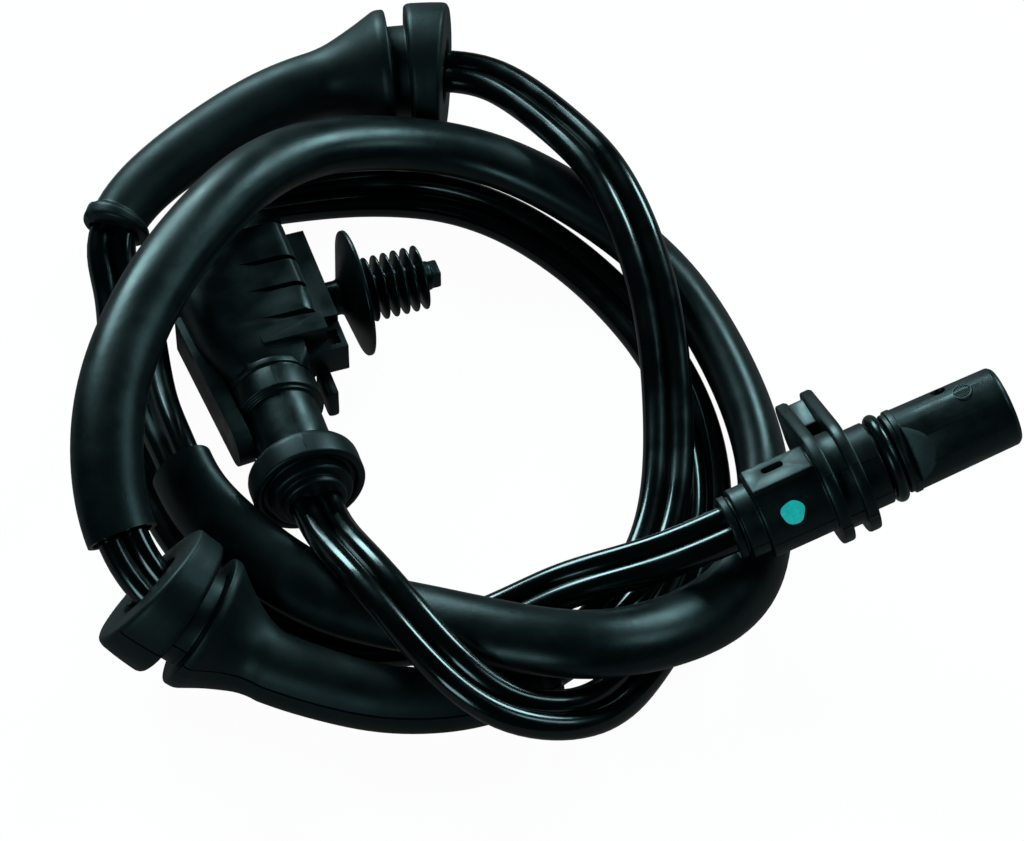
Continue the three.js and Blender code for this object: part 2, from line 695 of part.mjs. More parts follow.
// The housing's rear runs from the round collar into the full section.
function housingForm() {
  const left = housingWidth - housingRight;
  const noseStart = housingEnd - noseLength;
  const loftSteps = 7;
  const centre = left - housingWidth / 2;
  const section = prism(
    roundedOutline(housingWidth, housingHeight, housingCorner), 0, rearLoftLength, 4, loftSteps,
  ).translate(0, centre, 0);
  const at = section.attributes.position;
  const round = plugCollarDiameter / 2;
  for (let i = 0; i < at.count; i += 1) {
    const [x, y, z] = [at.getX(i), at.getY(i), at.getZ(i)];
    const share = Math.sin((Math.PI / 2) * Math.min(1, x / rearLoftLength)) ** 0.8;
    const angle = Math.atan2(z, y - centre);
    at.setY(i, THREE.MathUtils.lerp(round * Math.cos(angle), y, share));
    at.setZ(i, THREE.MathUtils.lerp(round * Math.sin(angle), z, share));
  }
  section.translate(housingStart, 0, 0);
  const front = prism(
    roundedOutline(housingWidth, housingHeight, housingCorner),
    housingStart + rearLoftLength, housingEnd, 4,
  ).translate(0, centre, 0);
  const shoulder = block(
    [housingStart - overrun, -2 * housingRight, -housingHeight],
    [housingStart + shoulderLength, -rearWidthRight, housingHeight],
  );
  const nose = block(
    [noseStart, left - noseSetBack, -housingHeight], [housingEnd + overrun, 2 * left, housingHeight],
  );
  return cut(join(solid(section), solid(front)), solid(shoulder), solid(nose));
}

function gripGrooves() {
  const slope = Math.atan2(gripDepth, gripLength);
  return Array.from({ length: gripCount }, (_, i) => {
    const start = housingStart + gripStart + i * gripPitch;
    const tool = block([start, -gripLength - 3, 0], [start + gripGroove, 0, housingHeight]);
    tool.rotateX(slope).translate(0, gripLength - housingRight, housingHeight / 2 + 0.05);
    return solid(tool);
  });
}

const channelDepth = clipBase[2] + 2 * gap;
const railOuter = housingRight + channelDepth + railThickness;

function clipRails() {
  const [, tall] = clipBase;
  return [-1, 1].map((side) => {
    const inner = tall / 2 + gap;
    const web = block(
      [railStart, -railOuter, inner], [railEnd, overrun - housingRight, inner + railThickness],
    );
    const lip = block(
      [railStart, -railOuter, inner - railLip],
      [railEnd, railThickness - railOuter, inner + railThickness],
    );
    const rail = join(solid(web), solid(lip));
    return (side > 0 ? rail : rail.mirror([0, 0, 1])).translate([0, 0, clipLift]);
  });
}

// Behind the rails: a bracket with a window, and the end of the lock's arm.
function bracket() {
  const start = railStart - bracketLength;
  const body = block(
    [start, -railOuter, bracketLow], [railStart + overrun, overrun - rearWidthRight, bracketHigh],
  );
  const window = block(
    [start + 1.1, -railOuter + 0.8, bracketLow - overrun],
    [railStart - 0.4, -housingRight, bracketHigh + overrun],
  );
  const arm = block(
    [start - lockTabLength, -housingRight + 0.4, -4.6],
    [start + overrun, -housingRight + 0.4 + lockTabThickness, bracketLow + overrun],
  );
  const lug = block(
    [housingStart + 2.2, -housingRight, 2], [housingStart + shoulderLength + 1, 0, 5.8],
  );
  return join(cut(solid(body), solid(window)), solid(arm), solid(lug));
}

function keel() {
  const outer = keelReach;
  const start = housingStart - keelLength;
  const rest = keelHeight / 2;
  const outline = new THREE.Shape();
  outline.moveTo(housingStart + keelFront, -rest).lineTo(start + rest, -rest);
  outline.absarc(start + rest, 0, rest, -Math.PI / 2, Math.PI / 2, true);
  outline.lineTo(housingStart + keelFront, rest);
  const form = new THREE.ExtrudeGeometry(outline, {
    depth: keelThickness, bevelEnabled: false, curveSegments: 8,
  });
  return solid(form.rotateX(Math.PI / 2)
    .translate(0, outer, 0));
}

function plugHousing() {
  const neckStart = bootThickness + gap;
  const collar = plugCollarDiameter / 2;
  const neck = solid(turned([
    [neckStart, 0], [neckStart, neckDiameter / 2], [neckEnd, neckDiameter / 2],
    [neckEnd, collar], [housingStart + overrun, collar], [housingStart + overrun, 0],
  ]));
  const socket = solid(prism(
    roundedOutline(2 * (housingRight - housingWall), housingHeight - 2 * housingWall, housingCorner - housingWall),
    socketFloor, housingEnd + overrun, 4,
  )).intersect(solid(plate([
    [socketFloor, -housingWidth], [housingEnd + overrun, -housingWidth],
    [housingEnd + overrun, housingWidth - housingRight - noseSetBack - housingWall],
    [socketFloor, housingWidth - housingRight - noseSetBack - housingWall],
  ], -housingHeight, housingHeight)));
  const carrierSeat = solid(prism(
    roundedOutline(carrierWidth + 2 * gap, carrierHeight + 2 * gap, 1), carrierBack - gap, socketFloor + overrun, 3,
  ));
  const tunnels = [-1, 1].map((side) => solid(rod(sealBack - overrun, carrierBack, wireSealDiameter + 2 * gap, 16))
    .translate([0, side * contactPitch / 2, 0]));
  const throat = solid(prism(twinOutline(gap), 0, plugCableInset + gap)).rotate([-plugRoll, 0, 0]);
  const fan = solid(block([plugCableInset - overrun, -5, -2.4], [sealBack - overrun / 2, 5, 2.4]));
  const outer = join(neck, housingForm(), keel(), bracket(), ...clipRails());
  return cut(outer, ...gripGrooves(), socket, carrierSeat, ...tunnels, throat, fan);
}

function contactCarrier() {
  const end = housingEnd + carrierNose;
  const body = solid(prism(roundedOutline(carrierWidth, carrierHeight, 1), carrierBack, end, 3));
  const cells = [-1, 1].map((side) => solid(block(
    [carrierBack - overrun, side * contactPitch / 2 - contactCell / 2, -contactCell / 2],
    [end + overrun, side * contactPitch / 2 + contactCell / 2, contactCell / 2],
  )));
  return cut(body, ...cells);
}

function contact() {
  const body = solid(block([0, -contactSize / 2, -contactSize / 2], [contactLength, contactSize / 2, contactSize / 2]));
  const mouth = solid(block([contactLength / 2, -0.5, -0.5], [contactLength + overrun, 0.5, 0.5]));
  return cut(body, mouth);
}

function lockPlate() {
  const start = housingEnd + gap;
  const low = carrierHeight / 2 + gap;
  const right = -carrierWidth / 2 - lockReach;
  const end = start + lockThickness;
  const body = solid(block([start, right, low], [end, carrierWidth / 2, low + 3]));
  const step = solid(block([start - overrun, right - overrun, low - overrun], [end + overrun, right + 1.6, low + 1]));
  const notch = solid(block([start - overrun, right + 5.4, low + 1], [end + overrun, right + 6.1, low + 3 + overrun]));
  return cut(body, step, notch);
}

function boot() {
  const outer = bootDiameter / 2;
  const edge = 1;
  const body = solid(turned([
    [0, 0], [0, outer - edge], [edge, outer], [bootThickness - edge, outer],
    [bootThickness, outer - edge], [bootThickness, 0],
  ]));
  const dish = solid(rod(-overrun, 1.6, bootInnerDiameter, 24));
  const hub = solid(turned([
    [0.4, 0], [0.4, bootInnerDiameter / 2 - 1], [2, bootInnerDiameter / 2 - 0.6], [2, 0],
  ]));
  const throat = solid(prism(twinOutline(gap), -overrun, bootThickness + overrun)).rotate([-plugRoll, 0, 0]);
  return cut(join(cut(body, dish), hub), throat);
}

function clip() {
  const [alongPlug, tall, thick] = clipBase;
  const base = solid(block([0, -alongPlug / 2, -tall / 2], [thick, alongPlug / 2, tall / 2]));
  const dishStart = thick + clipNeckLength;
  const stem = clipStemDiameter / 2;
  const rim = clipDishDiameter / 2;
  const finsStart = dishStart + clipDishDepth;
  const profile = [
    [thick / 2, 0], [thick / 2, clipNeckDiameter / 2], [dishStart, clipNeckDiameter / 2],
    [dishStart + clipDishDepth - clipDishWall, rim], [dishStart + clipDishDepth, rim],
    [dishStart + clipDishWall, stem],
  ];
  for (let i = 0; i < clipFinCount; i += 1) {
    const at = finsStart + i * clipFinPitch;
    profile.push(
      [at, stem], [at, clipFinDiameter / 2], [at + clipFinThickness, clipFinDiameter / 2],
      [at + clipFinThickness, stem],
    );
  }
  const end = finsStart + clipFinCount * clipFinPitch + clipTipLength;
  profile.push([end - 0.8, stem * 0.9], [end, stem * 0.6], [end, 0]);
  return join(base, solid(turned(profile, 24)));
}

function buildPlug() {
  add(plug, 'plug_housing', 'plastic', geometryOf(plugHousing()));
  add(plug, 'plug_boot', 'rubber', geometryOf(boot()));
  add(plug, 'contact_carrier', 'plastic', geometryOf(contactCarrier()));
  add(plug, 'contact_lock', 'plastic', geometryOf(lockPlate()));
  const sealSeat = Math.max(carrierWidth, carrierHeight) / 2 + gap;
  const seatHeight = carrierHeight + 2 * gap;
  const face = roundedOutline(2 * (sealSeat + frontSealWall), seatHeight + 2 * frontSealWall, 1.6);
  face.holes.push(roundedOutline(2 * sealSeat, seatHeight, 0.8));
  const sealStart = socketFloor + gap;
  add(plug, 'front_seal', 'ring', prism(face, sealStart, sealStart + frontSealLength, 3));
  [-1, 1].forEach((side, i) => {
    const across = side * contactPitch / 2;
    add(plug, `contact_${i + 1}`, 'brass', geometryOf(contact())).position.set(contactBack, across, 0);
    const seal = cut(
      solid(rod(0, wireSealLength, wireSealDiameter, 16)),
      solid(rod(-overrun, wireSealLength + overrun, conductorDiameter + 2 * gap, 12)),
    );
    add(plug, `wire_seal_${i + 1}`, 'ring', geometryOf(seal)).position.set(sealBack, across, 0);
    const wire = rod(plugCableInset + gap, contactBack - gap, conductorDiameter, 12);
    add(plug, `plug_conductor_${i + 1}`, 'copper', wire).position.set(0, across, 0);
  });
  const fastener = add(plug, 'fir_tree_clip', 'plastic', geometryOf(clip()));
  fastener.rotation.z = -Math.PI / 2;
  fastener.position.set(clipAt, -housingRight - gap, clipLift);
}

buildHead();
buildHarness();
buildPlug();

// The head's group turns from its own frame into the lay's, and so does the plug's.
function stand(group, origin, direction, roll) {
  const side = new THREE.Vector3(0, 0, 1).cross(direction).normalize();
  const up = direction.clone().cross(side);
  const basis = new THREE.Matrix4().makeBasis(direction, side, up);
  group.quaternion.setFromRotationMatrix(basis);
  group.rotateX(radians(roll));
  group.position.set(...origin);
}

stand(head, rearExit, headDirection, headRoll);
stand(plug, plugAt, plugDirection, plugRoll);

// The lay turns so that the head points along +X, with its sensing face at the origin.
const tipInLay = new THREE.Vector3(...rearExit).addScaledVector(headDirection, headLength);
lay.add(head, plug);
lay.rotation.z = -yaw;
lay.position.copy(tipInLay).applyAxisAngle(new THREE.Vector3(0, 0, 1), -yaw).negate();
parts.add(lay);

export default parts;
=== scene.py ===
import math
import bpy
import bmesh
import numpy as np
from mathutils import Matrix, Vector


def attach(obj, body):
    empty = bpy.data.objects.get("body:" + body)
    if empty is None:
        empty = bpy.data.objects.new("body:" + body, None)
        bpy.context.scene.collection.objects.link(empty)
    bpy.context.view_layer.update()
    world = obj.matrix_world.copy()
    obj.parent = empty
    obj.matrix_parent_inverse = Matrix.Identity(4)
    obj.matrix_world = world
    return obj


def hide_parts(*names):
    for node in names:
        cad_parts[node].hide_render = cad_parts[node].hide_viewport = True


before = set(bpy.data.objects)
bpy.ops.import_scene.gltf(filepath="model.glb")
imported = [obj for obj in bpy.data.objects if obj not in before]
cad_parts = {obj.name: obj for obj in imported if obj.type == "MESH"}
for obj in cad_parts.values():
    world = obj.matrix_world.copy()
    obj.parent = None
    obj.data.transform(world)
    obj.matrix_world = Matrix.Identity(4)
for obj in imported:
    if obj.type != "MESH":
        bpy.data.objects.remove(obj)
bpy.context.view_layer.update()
MM = 0.001

# The lay's and the cable's sizes, in millimetres and degrees.
CORE = 3.8
PITCH = 3.4
HEAD_LENGTH = 41.6
HEAD_TILT = 12
HEAD_YAW = 21.3
HEAD_ROLL = -17
REAR_EXIT = (29.3, -30.6, 15.2)
HEAD_INSET = 4.2
PLUG_YAW = 18.6
PLUG_PITCH = -3
PLUG_ROLL = 1
PLUG_AT = (-27.7, -21.2, 11.6)
PLUG_INSET = 15.5
SLEEVE = (392.5, 688.3)
SLEEVE_SIZE = (10, 7.3)
SLEEVE_WALL = 0.7
FLANGES_AT = {"upper_grommet": 203.2, "lower_grommet": 385.2}

# The grommets, with x from the flange's face.
GROMMET_LENGTH = 59
FLANGE_RADIUS = 10.25
FLANGE_THICKNESS = 5.7
GROOVE_RADIUS = 7.0
CONE_START = 8.4
CONE_RADIUS = 9.65
TUBE_START = 17.8
TUBE_RADIUS = 5.1
BEAD_RADIUS = 5.0
BEAD_LENGTH = 2
RECESS_DEPTH = 2.0
RECESS_MARGIN = 3.2
GROMMET_SEAMS = {"upper_grommet": (214, 0.14), "lower_grommet": (203, -0.32)}
# The lower grommet's flange leans, but its first rings, the bore, stay on the cable.
BORE_RINGS = 3
LEAN = (-0.762, 0.345, 0.548)
LEAN_PIVOT = 2.5
LEAN_UNTIL = 20
LEAN_FADE = 10

# The head, with x from the cable's side.
LIP_END = 1.1
LIP_RADIUS = 4.5
COLLAR_START = 1.6
COLLAR_END = 4.2
COLLAR_RADIUS = 5
BODY_END = 13.6
BODY_RADIUS = 6.1
FLANGES_END = 19.1
FLANGE_CORE_RADIUS = 6.8
EAR_RADIUS = 8.3
EAR_THICKNESS = 1.6
EAR_REACHES = (15.7, 16.2)
SHOULDER_END = 22.3
SHOULDER_RADIUS = 5.9
SEAT_END = 24.8
SEAT_RADIUS = 4.2
STOP_STEP = 25.5
STOP_STEP_RADIUS = 5.7
STOP_END = 26.4
STOP_RADIUS = 6.0
TIP_REAR_RADIUS = 5.85
TIP_RADIUS = 5.65
TIP_EDGE = 0.6
RING_RADIUS = 0.95
RING_CENTRE = (23.55, 5.45)
SCOOP_FALL = 1.7
SCOOP_LENGTH = 3.4
SCOOP_FLOOR = 4.15
SCOOP_TURN = 62
DOT_AT = 8.4
DOT_RADIUS = 1.65
DOT_TURN = 64

# The plug, with x from the rear of the boot's rim.
BOOT_RADIUS = 8
BOOT_LENGTH = 4.6
NECK_START = 4.9
NECK_RADIUS = 5.4
NECK_END = 14.6
PLUG_COLLAR_RADIUS = 6.4
HOUSING_START = 18.6
HOUSING_END = 44.4
HOUSING_SIZE = (19.4, 14.6)
HOUSING_CORNERS = (3.6, 4.6, 2.4, 3.6)
HOUSING_SHIFT = 0.3
LOFT_LENGTH = 10
SHOULDER_CUT_END = 24.8
NOSE_START = 36
GRIPS_START = 25.6
GRIP_PITCH = 5.4
GRIP_WIDTH = 0.9
GRIP_DEPTH = 1.7
GRIP_LENGTH = 9.2
PLATE_REAR = 8.1
PLATE_FRONT = 34
PLATE_HALF = 3.1
PLATE_LEAN = 4.6
RAILS = (25.4, 42.6)
RAIL_REACH = 11.9
CABLE_TURN_IN_PLUG = -1
CABLE_TURN_IN_HEAD = 17

# The clip, with x from the plug's side.
CLIP_AT = (33, -9.7, 0.4)
CLIP_STEM_RADIUS = 2.2
DISH_RADIUS = 9.2
DISH_RIM = (6.7, 7.3)
FINS_START = 7.1
FIN_PITCH = 1.5
FIN_RADIUS = 4.7
FIN_COUNT = 7
CLIP_TIP_START = 17
CLIP_LENGTH = 19.5
SEAM_HALF = 0.07

# The cable's route from the head to the plug: right, away, up and roll.
TO_UPPER_GROMMET = [
    (19.5, -34, 12.9, 0), (13, -35.2, 11.5, 0), (6.5, -35.8, 9.2, 0), (0, -37.3, 5.6, 0),
    (-8, -39.5, 2.9, 0), (-15.5, -40.5, 2.2, 0), (-23, -40.5, 2.2, 0), (-30.5, -37.5, 2.2, 0),
    (-37.5, -31.5, 2.2, 0), (-43.5, -26, 2.2, 0), (-48, -18.5, 2.2, 0), (-51.5, -10, 2.2, 0),
    (-53.8, -2, 2.2, 0), (-55.4, 7, 2.2, 0), (-56.4, 15, 2.2, 0), (-57, 21.5, 3.2, 0),
]
IN_UPPER_GROMMET = [
    (-59.4, 28.6, 5.6, 0), (-56, 35.6, 7.2, 0), (-50.4, 41.4, 8.4, 0), (-43.8, 47, 9.2, 0),
    (-36.4, 52.2, 10, 0), (-28, 55.9, 10.4, 0), (-19.3, 57.3, 10.6, 0), (-10.6, 58.3, 10.6, 0),
]
TO_LOWER_GROMMET = [
    (-3.4, 56.8, 10.9, 0), (2.4, 50.6, 12.4, 0), (7.6, 43.6, 13.8, 0), (13, 35, 15.8, 0),
    (17, 25, 15.4, 0), (20, 15, 13, 0), (21.5, 6, 10.5, 0), (22, -2.5, 8, 0),
    (22, -12.5, 7, 0), (21, -22, 6.6, 0), (18.3, -30.5, 6.3, 0), (14, -37.2, 6, 0),
    (9.3, -42.7, 5.4, 0),
]
IN_LOWER_GROMMET = [
    (3, -47.8, 5.2, 0), (-4, -51, 5.1, 0), (-11, -52, 5.2, 0), (-18, -51.7, 5.4, 0),
    (-24.5, -50, 5.8, 0), (-31, -47.9, 6.3, 0), (-37.7, -45.1, 7.5, 0), (-43.5, -42.1, 10.2, 0),
    (-49.1, -38.6, 13.8, 0),
]
IN_SLEEVE = [
    (-52.5, -34, 17, 0), (-54.5, -27.5, 19.5, 0), (-55.3, -19.5, 21.4, 0), (-54.7, -11, 22.6, 0),
    (-52.7, -2.5, 23, 0), (-49.7, 6, 23.3, 0), (-45.5, 14.5, 23.2, 0), (-39.5, 25, 22, 0),
    (-33.3, 32.8, 19.6, 4), (-26, 38.8, 16, 10), (-17, 42.5, 12, 20), (-8, 43, 10, 25),
    (1, 40.5, 8.5, 30), (9.5, 35.5, 7, 40), (17, 29.3, 6, 50), (22.7, 23, 5.4, 60),
    (27.2, 15.5, 5, 70), (32, 3.5, 5, 74), (35, -8.5, 5, 74), (35.6, -19.5, 5, 70),
    (33.8, -29.8, 4.7, 46), (28.2, -39, 7.6, 28), (18.5, -47, 12.6, 4), (9, -49.8, 14.8, 0),
    (-1, -47.3, 13.9, 0), (-11, -43.3, 11.8, 8), (-19, -40, 9.5, 16), (-27, -36.4, 8.2, 16),
    (-36.3, -29.3, 8.9, 26), (-43.8, -21.6, 9.8, 46), (-46.7, -13.5, 9.8, 46),
]
TO_PLUG = [
    (-50, -5.5, 8.8, 36), (-51.6, 2, 8.4, 30), (-52.9, 10.5, 8.4, 40), (-53.3, 18.5, 9, 70),
    (-51.7, 25.4, 7.6, 80), (-48.7, 30.6, 5, 76), (-45, 34.6, 3.4, 40), (-39.8, 37.6, 2.5, 10),
    (-32, 39.8, 2.3, -8), (-24, 40.8, 2.5, -18), (-16, 40.8, 2.6, -24), (-8, 39.5, 2.6, -20),
    (1, 35, 2.5, -10), (9.5, 27.5, 2.3, 0), (16, 19.5, 2.2, 0), (21.2, 11, 2.2, 0),
    (25, 1.5, 2.2, 0), (27, -7.5, 2.2, 0), (27.4, -16.5, 2.2, 0), (26.4, -24.5, 2.2, 0),
    (23.8, -32, 2.2, 0), (20.7, -39.1, 2.2, 4), (17.2, -45.6, 3, 18), (13.8, -52, 5.6, 26),
    (8.6, -57, 9, 12), (1, -58.6, 12, 0), (-5, -56.4, 14.6, 0), (-10.3, -52, 17, 0),
    (-15.6, -45, 18, 0), (-20.6, -37.4, 17, 0),
]


# Places: the lay's frame, the head's and the plug's, in the model's frame.
def direction(yaw, pitch):
    level = math.cos(math.radians(pitch))
    turn = math.radians(yaw)
    return np.array([level * math.cos(turn), level * math.sin(turn), math.sin(math.radians(pitch))])


HEAD_DIRECTION = direction(HEAD_YAW, HEAD_TILT)
PLUG_DIRECTION = direction(90 + PLUG_YAW, PLUG_PITCH)
TIP = np.array(REAR_EXIT) + HEAD_DIRECTION * HEAD_LENGTH
LAY = Matrix.Rotation(-math.radians(HEAD_YAW), 4, "Z") @ Matrix.Translation(Vector(-TIP))
TO_METRES = Matrix.Scale(MM, 4)


def stand(origin, along, roll):
    """The frame of a piece whose X lies along a direction, rolled about it."""
    x = Vector(along)
    y = Vector((0, 0, 1)).cross(x).normalized()
    z = x.cross(y)
    basis = Matrix((x, y, z)).transposed().to_4x4()
    turn = Matrix.Rotation(math.radians(roll), 4, "X")
    return TO_METRES @ LAY @ Matrix.Translation(Vector(origin)) @ basis @ turn


HEAD = stand(REAR_EXIT, HEAD_DIRECTION, HEAD_ROLL)
PLUG = stand(PLUG_AT, PLUG_DIRECTION, PLUG_ROLL)
LAID = TO_METRES @ LAY


def on_axis(origin, along, distance):
    return tuple(np.array(origin) + along * distance) + (0,)


# The camera looks down on the lay, as the photograph does.
def add_camera():
    distance, elevation = 600, math.radians(52)
    eye = LAID @ Vector((0, -distance * math.cos(elevation), distance * math.sin(elevation)))
    target = LAID @ Vector((0, 0, 0))
    data = bpy.data.cameras.new("camera")
    data.lens = 147.7
    data.sensor_width = 36
    camera = bpy.data.objects.new("camera", data)
    camera.location = eye
    camera.rotation_euler = (target - eye).to_track_quat("-Z", "Y").to_euler()
    bpy.context.collection.objects.link(camera)
    bpy.context.scene.camera = camera


# The route is a uniform cubic B-spline, with frames that follow the roll.
class Route:
    def __init__(self, controls):
        self.controls = np.array(controls, float)
        self.spans = len(controls) - 3
        samples_per_span = 24
        self.samples = samples_per_span * self.spans
        steps = np.arange(self.samples + 1) / self.samples
        points = np.array([self.blend(t)[:3] for t in steps])
        gaps = np.linalg.norm(np.diff(points, axis=0), axis=1)
        self.lengths = np.concatenate([[0], np.cumsum(gaps)])
        self.length = self.lengths[-1]

    def blend(self, t):
        place = min(max(t, 0), 1) * self.spans
        span = min(int(place), self.spans - 1)
        s = place - span
        weights = (
            (1 - s) ** 3 / 6,
            (3 * s ** 3 - 6 * s ** 2 + 4) / 6,
            (-3 * s ** 3 + 3 * s ** 2 + 3 * s + 1) / 6,
            s ** 3 / 6,
        )
        return np.array(weights) @ self.controls[span:span + 4]

    def frame(self, distance):
        distance = min(max(distance, 0), self.length)
        t = np.interp(distance, self.lengths, np.arange(self.samples + 1) / self.samples)
        step = 0.25 / self.samples
        along = self.blend(t + step)[:3] - self.blend(t - step)[:3]
        along /= np.linalg.norm(along)
        side = np.cross(along, (0, 0, 1))
        side /= np.linalg.norm(side)
        up = np.cross(side, along)
        middle = self.blend(t)
        roll = math.radians(middle[3])
        wide = math.cos(roll) * side + math.sin(roll) * up
        return middle[:3], along, wide, np.cross(along, wide)


route = Route(
    [on_axis(REAR_EXIT, HEAD_DIRECTION, d * HEAD_INSET) for d in (2, 1, 0, -1)]
    + TO_UPPER_GROMMET + IN_UPPER_GROMMET + TO_LOWER_GROMMET + IN_LOWER_GROMMET
    + IN_SLEEVE + TO_PLUG
    + [on_axis(PLUG_AT, PLUG_DIRECTION, d * PLUG_INSET) for d in (-0.5, 0, 0.5, 1, 1.5)]
)


# Mesh building.
def new_object(name, vertices, faces, place=LAID, sharp=35):
    mesh = bpy.data.meshes.new(name)
    mesh.from_pydata([tuple(place @ Vector(v)) for v in vertices], [], faces)
    mesh.validate()
    finish_mesh(mesh, sharp)
    piece = bpy.data.objects.new(name, mesh)
    bpy.context.collection.objects.link(piece)
    return piece


def finish_mesh(mesh, sharp=35):
    work = bmesh.new()
    work.from_mesh(mesh)
    bmesh.ops.recalc_face_normals(work, faces=work.faces)
    work.to_mesh(mesh)
    work.free()
    mesh.shade_smooth()
    mesh.set_sharp_from_angle(angle=math.radians(sharp))


def loft(rings, closed=(True, True), loop=False):
    """Vertices and faces of a skin over rings with the same number of points."""
    count = len(rings[0])
    vertices = [tuple(point) for ring in rings for point in ring]
    faces = []
    last = len(rings) if loop else len(rings) - 1
    for i in range(last):
        a, b = i * count, ((i + 1) % len(rings)) * count
        for k in range(count):
            n = (k + 1) % count
            faces.append((a + k, a + n, b + n, b + k))
    for cap, start in zip(closed, (0, (len(rings) - 1) * count)):
        if cap and not loop:
            vertices.append(tuple(np.mean(rings[start // count], axis=0)))
            centre = len(vertices) - 1
            faces += [(centre, start + k, start + (k + 1) % count) for k in range(count)]
    return vertices, faces


def angles(count):
    return np.arange(count) * 2 * math.pi / count


def circle(radius, count=64, seam=None):
    """A circle of points; a seam is its place in degrees and its height."""
    seam_half = 0.16
    a = angles(count)
    radii = np.full(count, float(radius))
    if seam is not None:
        k = int(round(seam[0] / 360 * count)) % count
        a[k - 1:k + 2] = a[k] + np.array([-seam_half, 0, seam_half]) / radius
        radii[k] += seam[1]
    return np.stack([radii * np.cos(a), radii * np.sin(a)], 1)


def oblong(width, height, count=64):
    """A slot's outline, with half-round ends."""
    a = angles(count)
    reach = (width - height) / 2
    side = np.where(np.abs(np.cos(a)) < 1e-9, 0, np.sign(np.cos(a)))
    return np.stack([side * reach + height / 2 * np.cos(a), height / 2 * np.sin(a)], 1)


def twin(margin=0.0, count=64):
    """Two round cores side by side, with a sharp groove between them."""
    groove_height = 0.84
    core_sweep = 152 / 90
    radius = CORE / 2 + margin
    points = []
    for a in angles(count):
        side = 1 if math.cos(a) > 0 else -1
        if abs(math.cos(a)) < 1e-6:
            points.append((0, math.copysign(groove_height + margin, math.sin(a))))
            continue
        turn = math.atan2(math.sin(a), abs(math.cos(a))) * core_sweep
        points.append((side * (PITCH / 2 + radius * math.cos(turn)), radius * math.sin(turn)))
    return np.array(points)


def along_route(stations, outline):
    """Rings of an outline at distances along the route."""
    rings = []
    for distance in stations:
        at, _, wide, thick = route.frame(distance)
        rings.append(at + outline[:, :1] * wide + outline[:, 1:] * thick)
    return rings


def rounded(profile, radius=0.25, steps=4):
    """Rounds the corners of a profile of (x, r) or (x, r, own radius)."""
    # No corner takes more than this share of the side before or after it.
    most = 0.45
    result = [profile[0][:2]]
    for before, corner, after in zip(profile, profile[1:], profile[2:]):
        own = corner[2] if len(corner) > 2 else radius
        here = np.array(corner[:2], float)
        back = np.array(before[:2], float) - here
        ahead = np.array(after[:2], float) - here
        reach = min(own, np.linalg.norm(back) * most, np.linalg.norm(ahead) * most)
        if reach < 1e-3:
            result.append(tuple(here))
            continue
        start = here + back / np.linalg.norm(back) * reach
        end = here + ahead / np.linalg.norm(ahead) * reach
        for k in range(steps + 1):
            t = k / steps
            result.append(tuple((1 - t) ** 2 * start + 2 * t * (1 - t) * here + t * t * end))
    result.append(profile[-1][:2])
    return result


def turned(profile, count=96):
    """A closed body of revolution about X; the profile starts and ends on the axis."""
    rings = []
    for x, r in profile[1:-1]:
        ring = circle(r, count)
        rings.append(np.column_stack([np.full(count, x), ring[:, 0], ring[:, 1]]))
    vertices, faces = loft(rings, closed=(False, False))
    for x, start in ((profile[0][0], 0), (profile[-1][0], (len(rings) - 1) * count)):
        vertices.append((x, 0, 0))
        centre = len(vertices) - 1
        faces += [(centre, start + k, start + (k + 1) % count) for k in range(count)]
    return vertices, faces


def tube_ring(profile, count=96):
    """A ring-shaped body of revolution about X from a closed profile."""
    rings = []
    for x, r in profile:
        ring = circle(r, count)
        rings.append(np.column_stack([np.full(count, x), ring[:, 0], ring[:, 1]]))
    return loft(rings, loop=True)


def slab(outline, start, end, edge=0.0):
    """An outline of (y, z) points swept along X, with its two rims chamfered."""
    outline = np.array(outline, float)
    middle = outline.mean(axis=0)
    reach = np.linalg.norm(outline - middle, axis=1).max()
    inner = middle + (outline - middle) * (1 - edge / reach)
    rings = []
    levels = [(start, inner), (start + edge, outline), (end - edge, outline), (end, inner)]
    if edge == 0:
        levels = [(start, outline), (end, outline)]
    for x, shape in levels:
        rings.append(np.column_stack([np.full(len(shape), x), shape[:, 0], shape[:, 1]]))
    return loft(rings)


def box_between(low, high, edge=0.2):
    """A box with bevelled edges."""
    work = bmesh.new()
    bmesh.ops.create_cube(work, size=1)
    size = np.array(high, float) - np.array(low, float)
    middle = (np.array(high, float) + np.array(low, float)) / 2
    for vertex in work.verts:
        vertex.co = Vector(np.array(vertex.co) * size + middle)
    if edge:
        bmesh.ops.bevel(
            work, geom=work.edges[:], offset=edge, segments=2, affect="EDGES", profile=0.6,
        )
    vertices = [tuple(v.co) for v in work.verts]
    faces = [tuple(v.index for v in face.verts) for face in work.faces]
    work.free()
    return vertices, faces


def rounded_rectangle(width, height, radius, steps=8):
    """Counter-clockwise from the left's lower corner; one radius or four."""
    radii = radius if isinstance(radius, tuple) else (radius,) * 4
    points = []
    for (y, z, start), r in zip(((1, -1, -90), (1, 1, 0), (-1, 1, 90), (-1, -1, 180)), radii):
        for k in range(steps + 1):
            angle = math.radians(start + 90 * k / steps)
            points.append((
                y * (width / 2 - r) + r * math.cos(angle),
                z * (height / 2 - r) + r * math.sin(angle),
            ))
    return points


def upright(outline, low, high, edge=0.0):
    """A plate: an outline of (x, z) points with its thickness along Y."""
    vertices, faces = slab(outline, low, high, edge)
    return [(x, y, z) for y, x, z in vertices], faces


def moved(form, matrix):
    vertices, faces = form
    return [tuple(matrix @ Vector(v)) for v in vertices], faces


def turned_about_x(form, degrees):
    return moved(form, Matrix.Rotation(math.radians(degrees), 4, "X"))


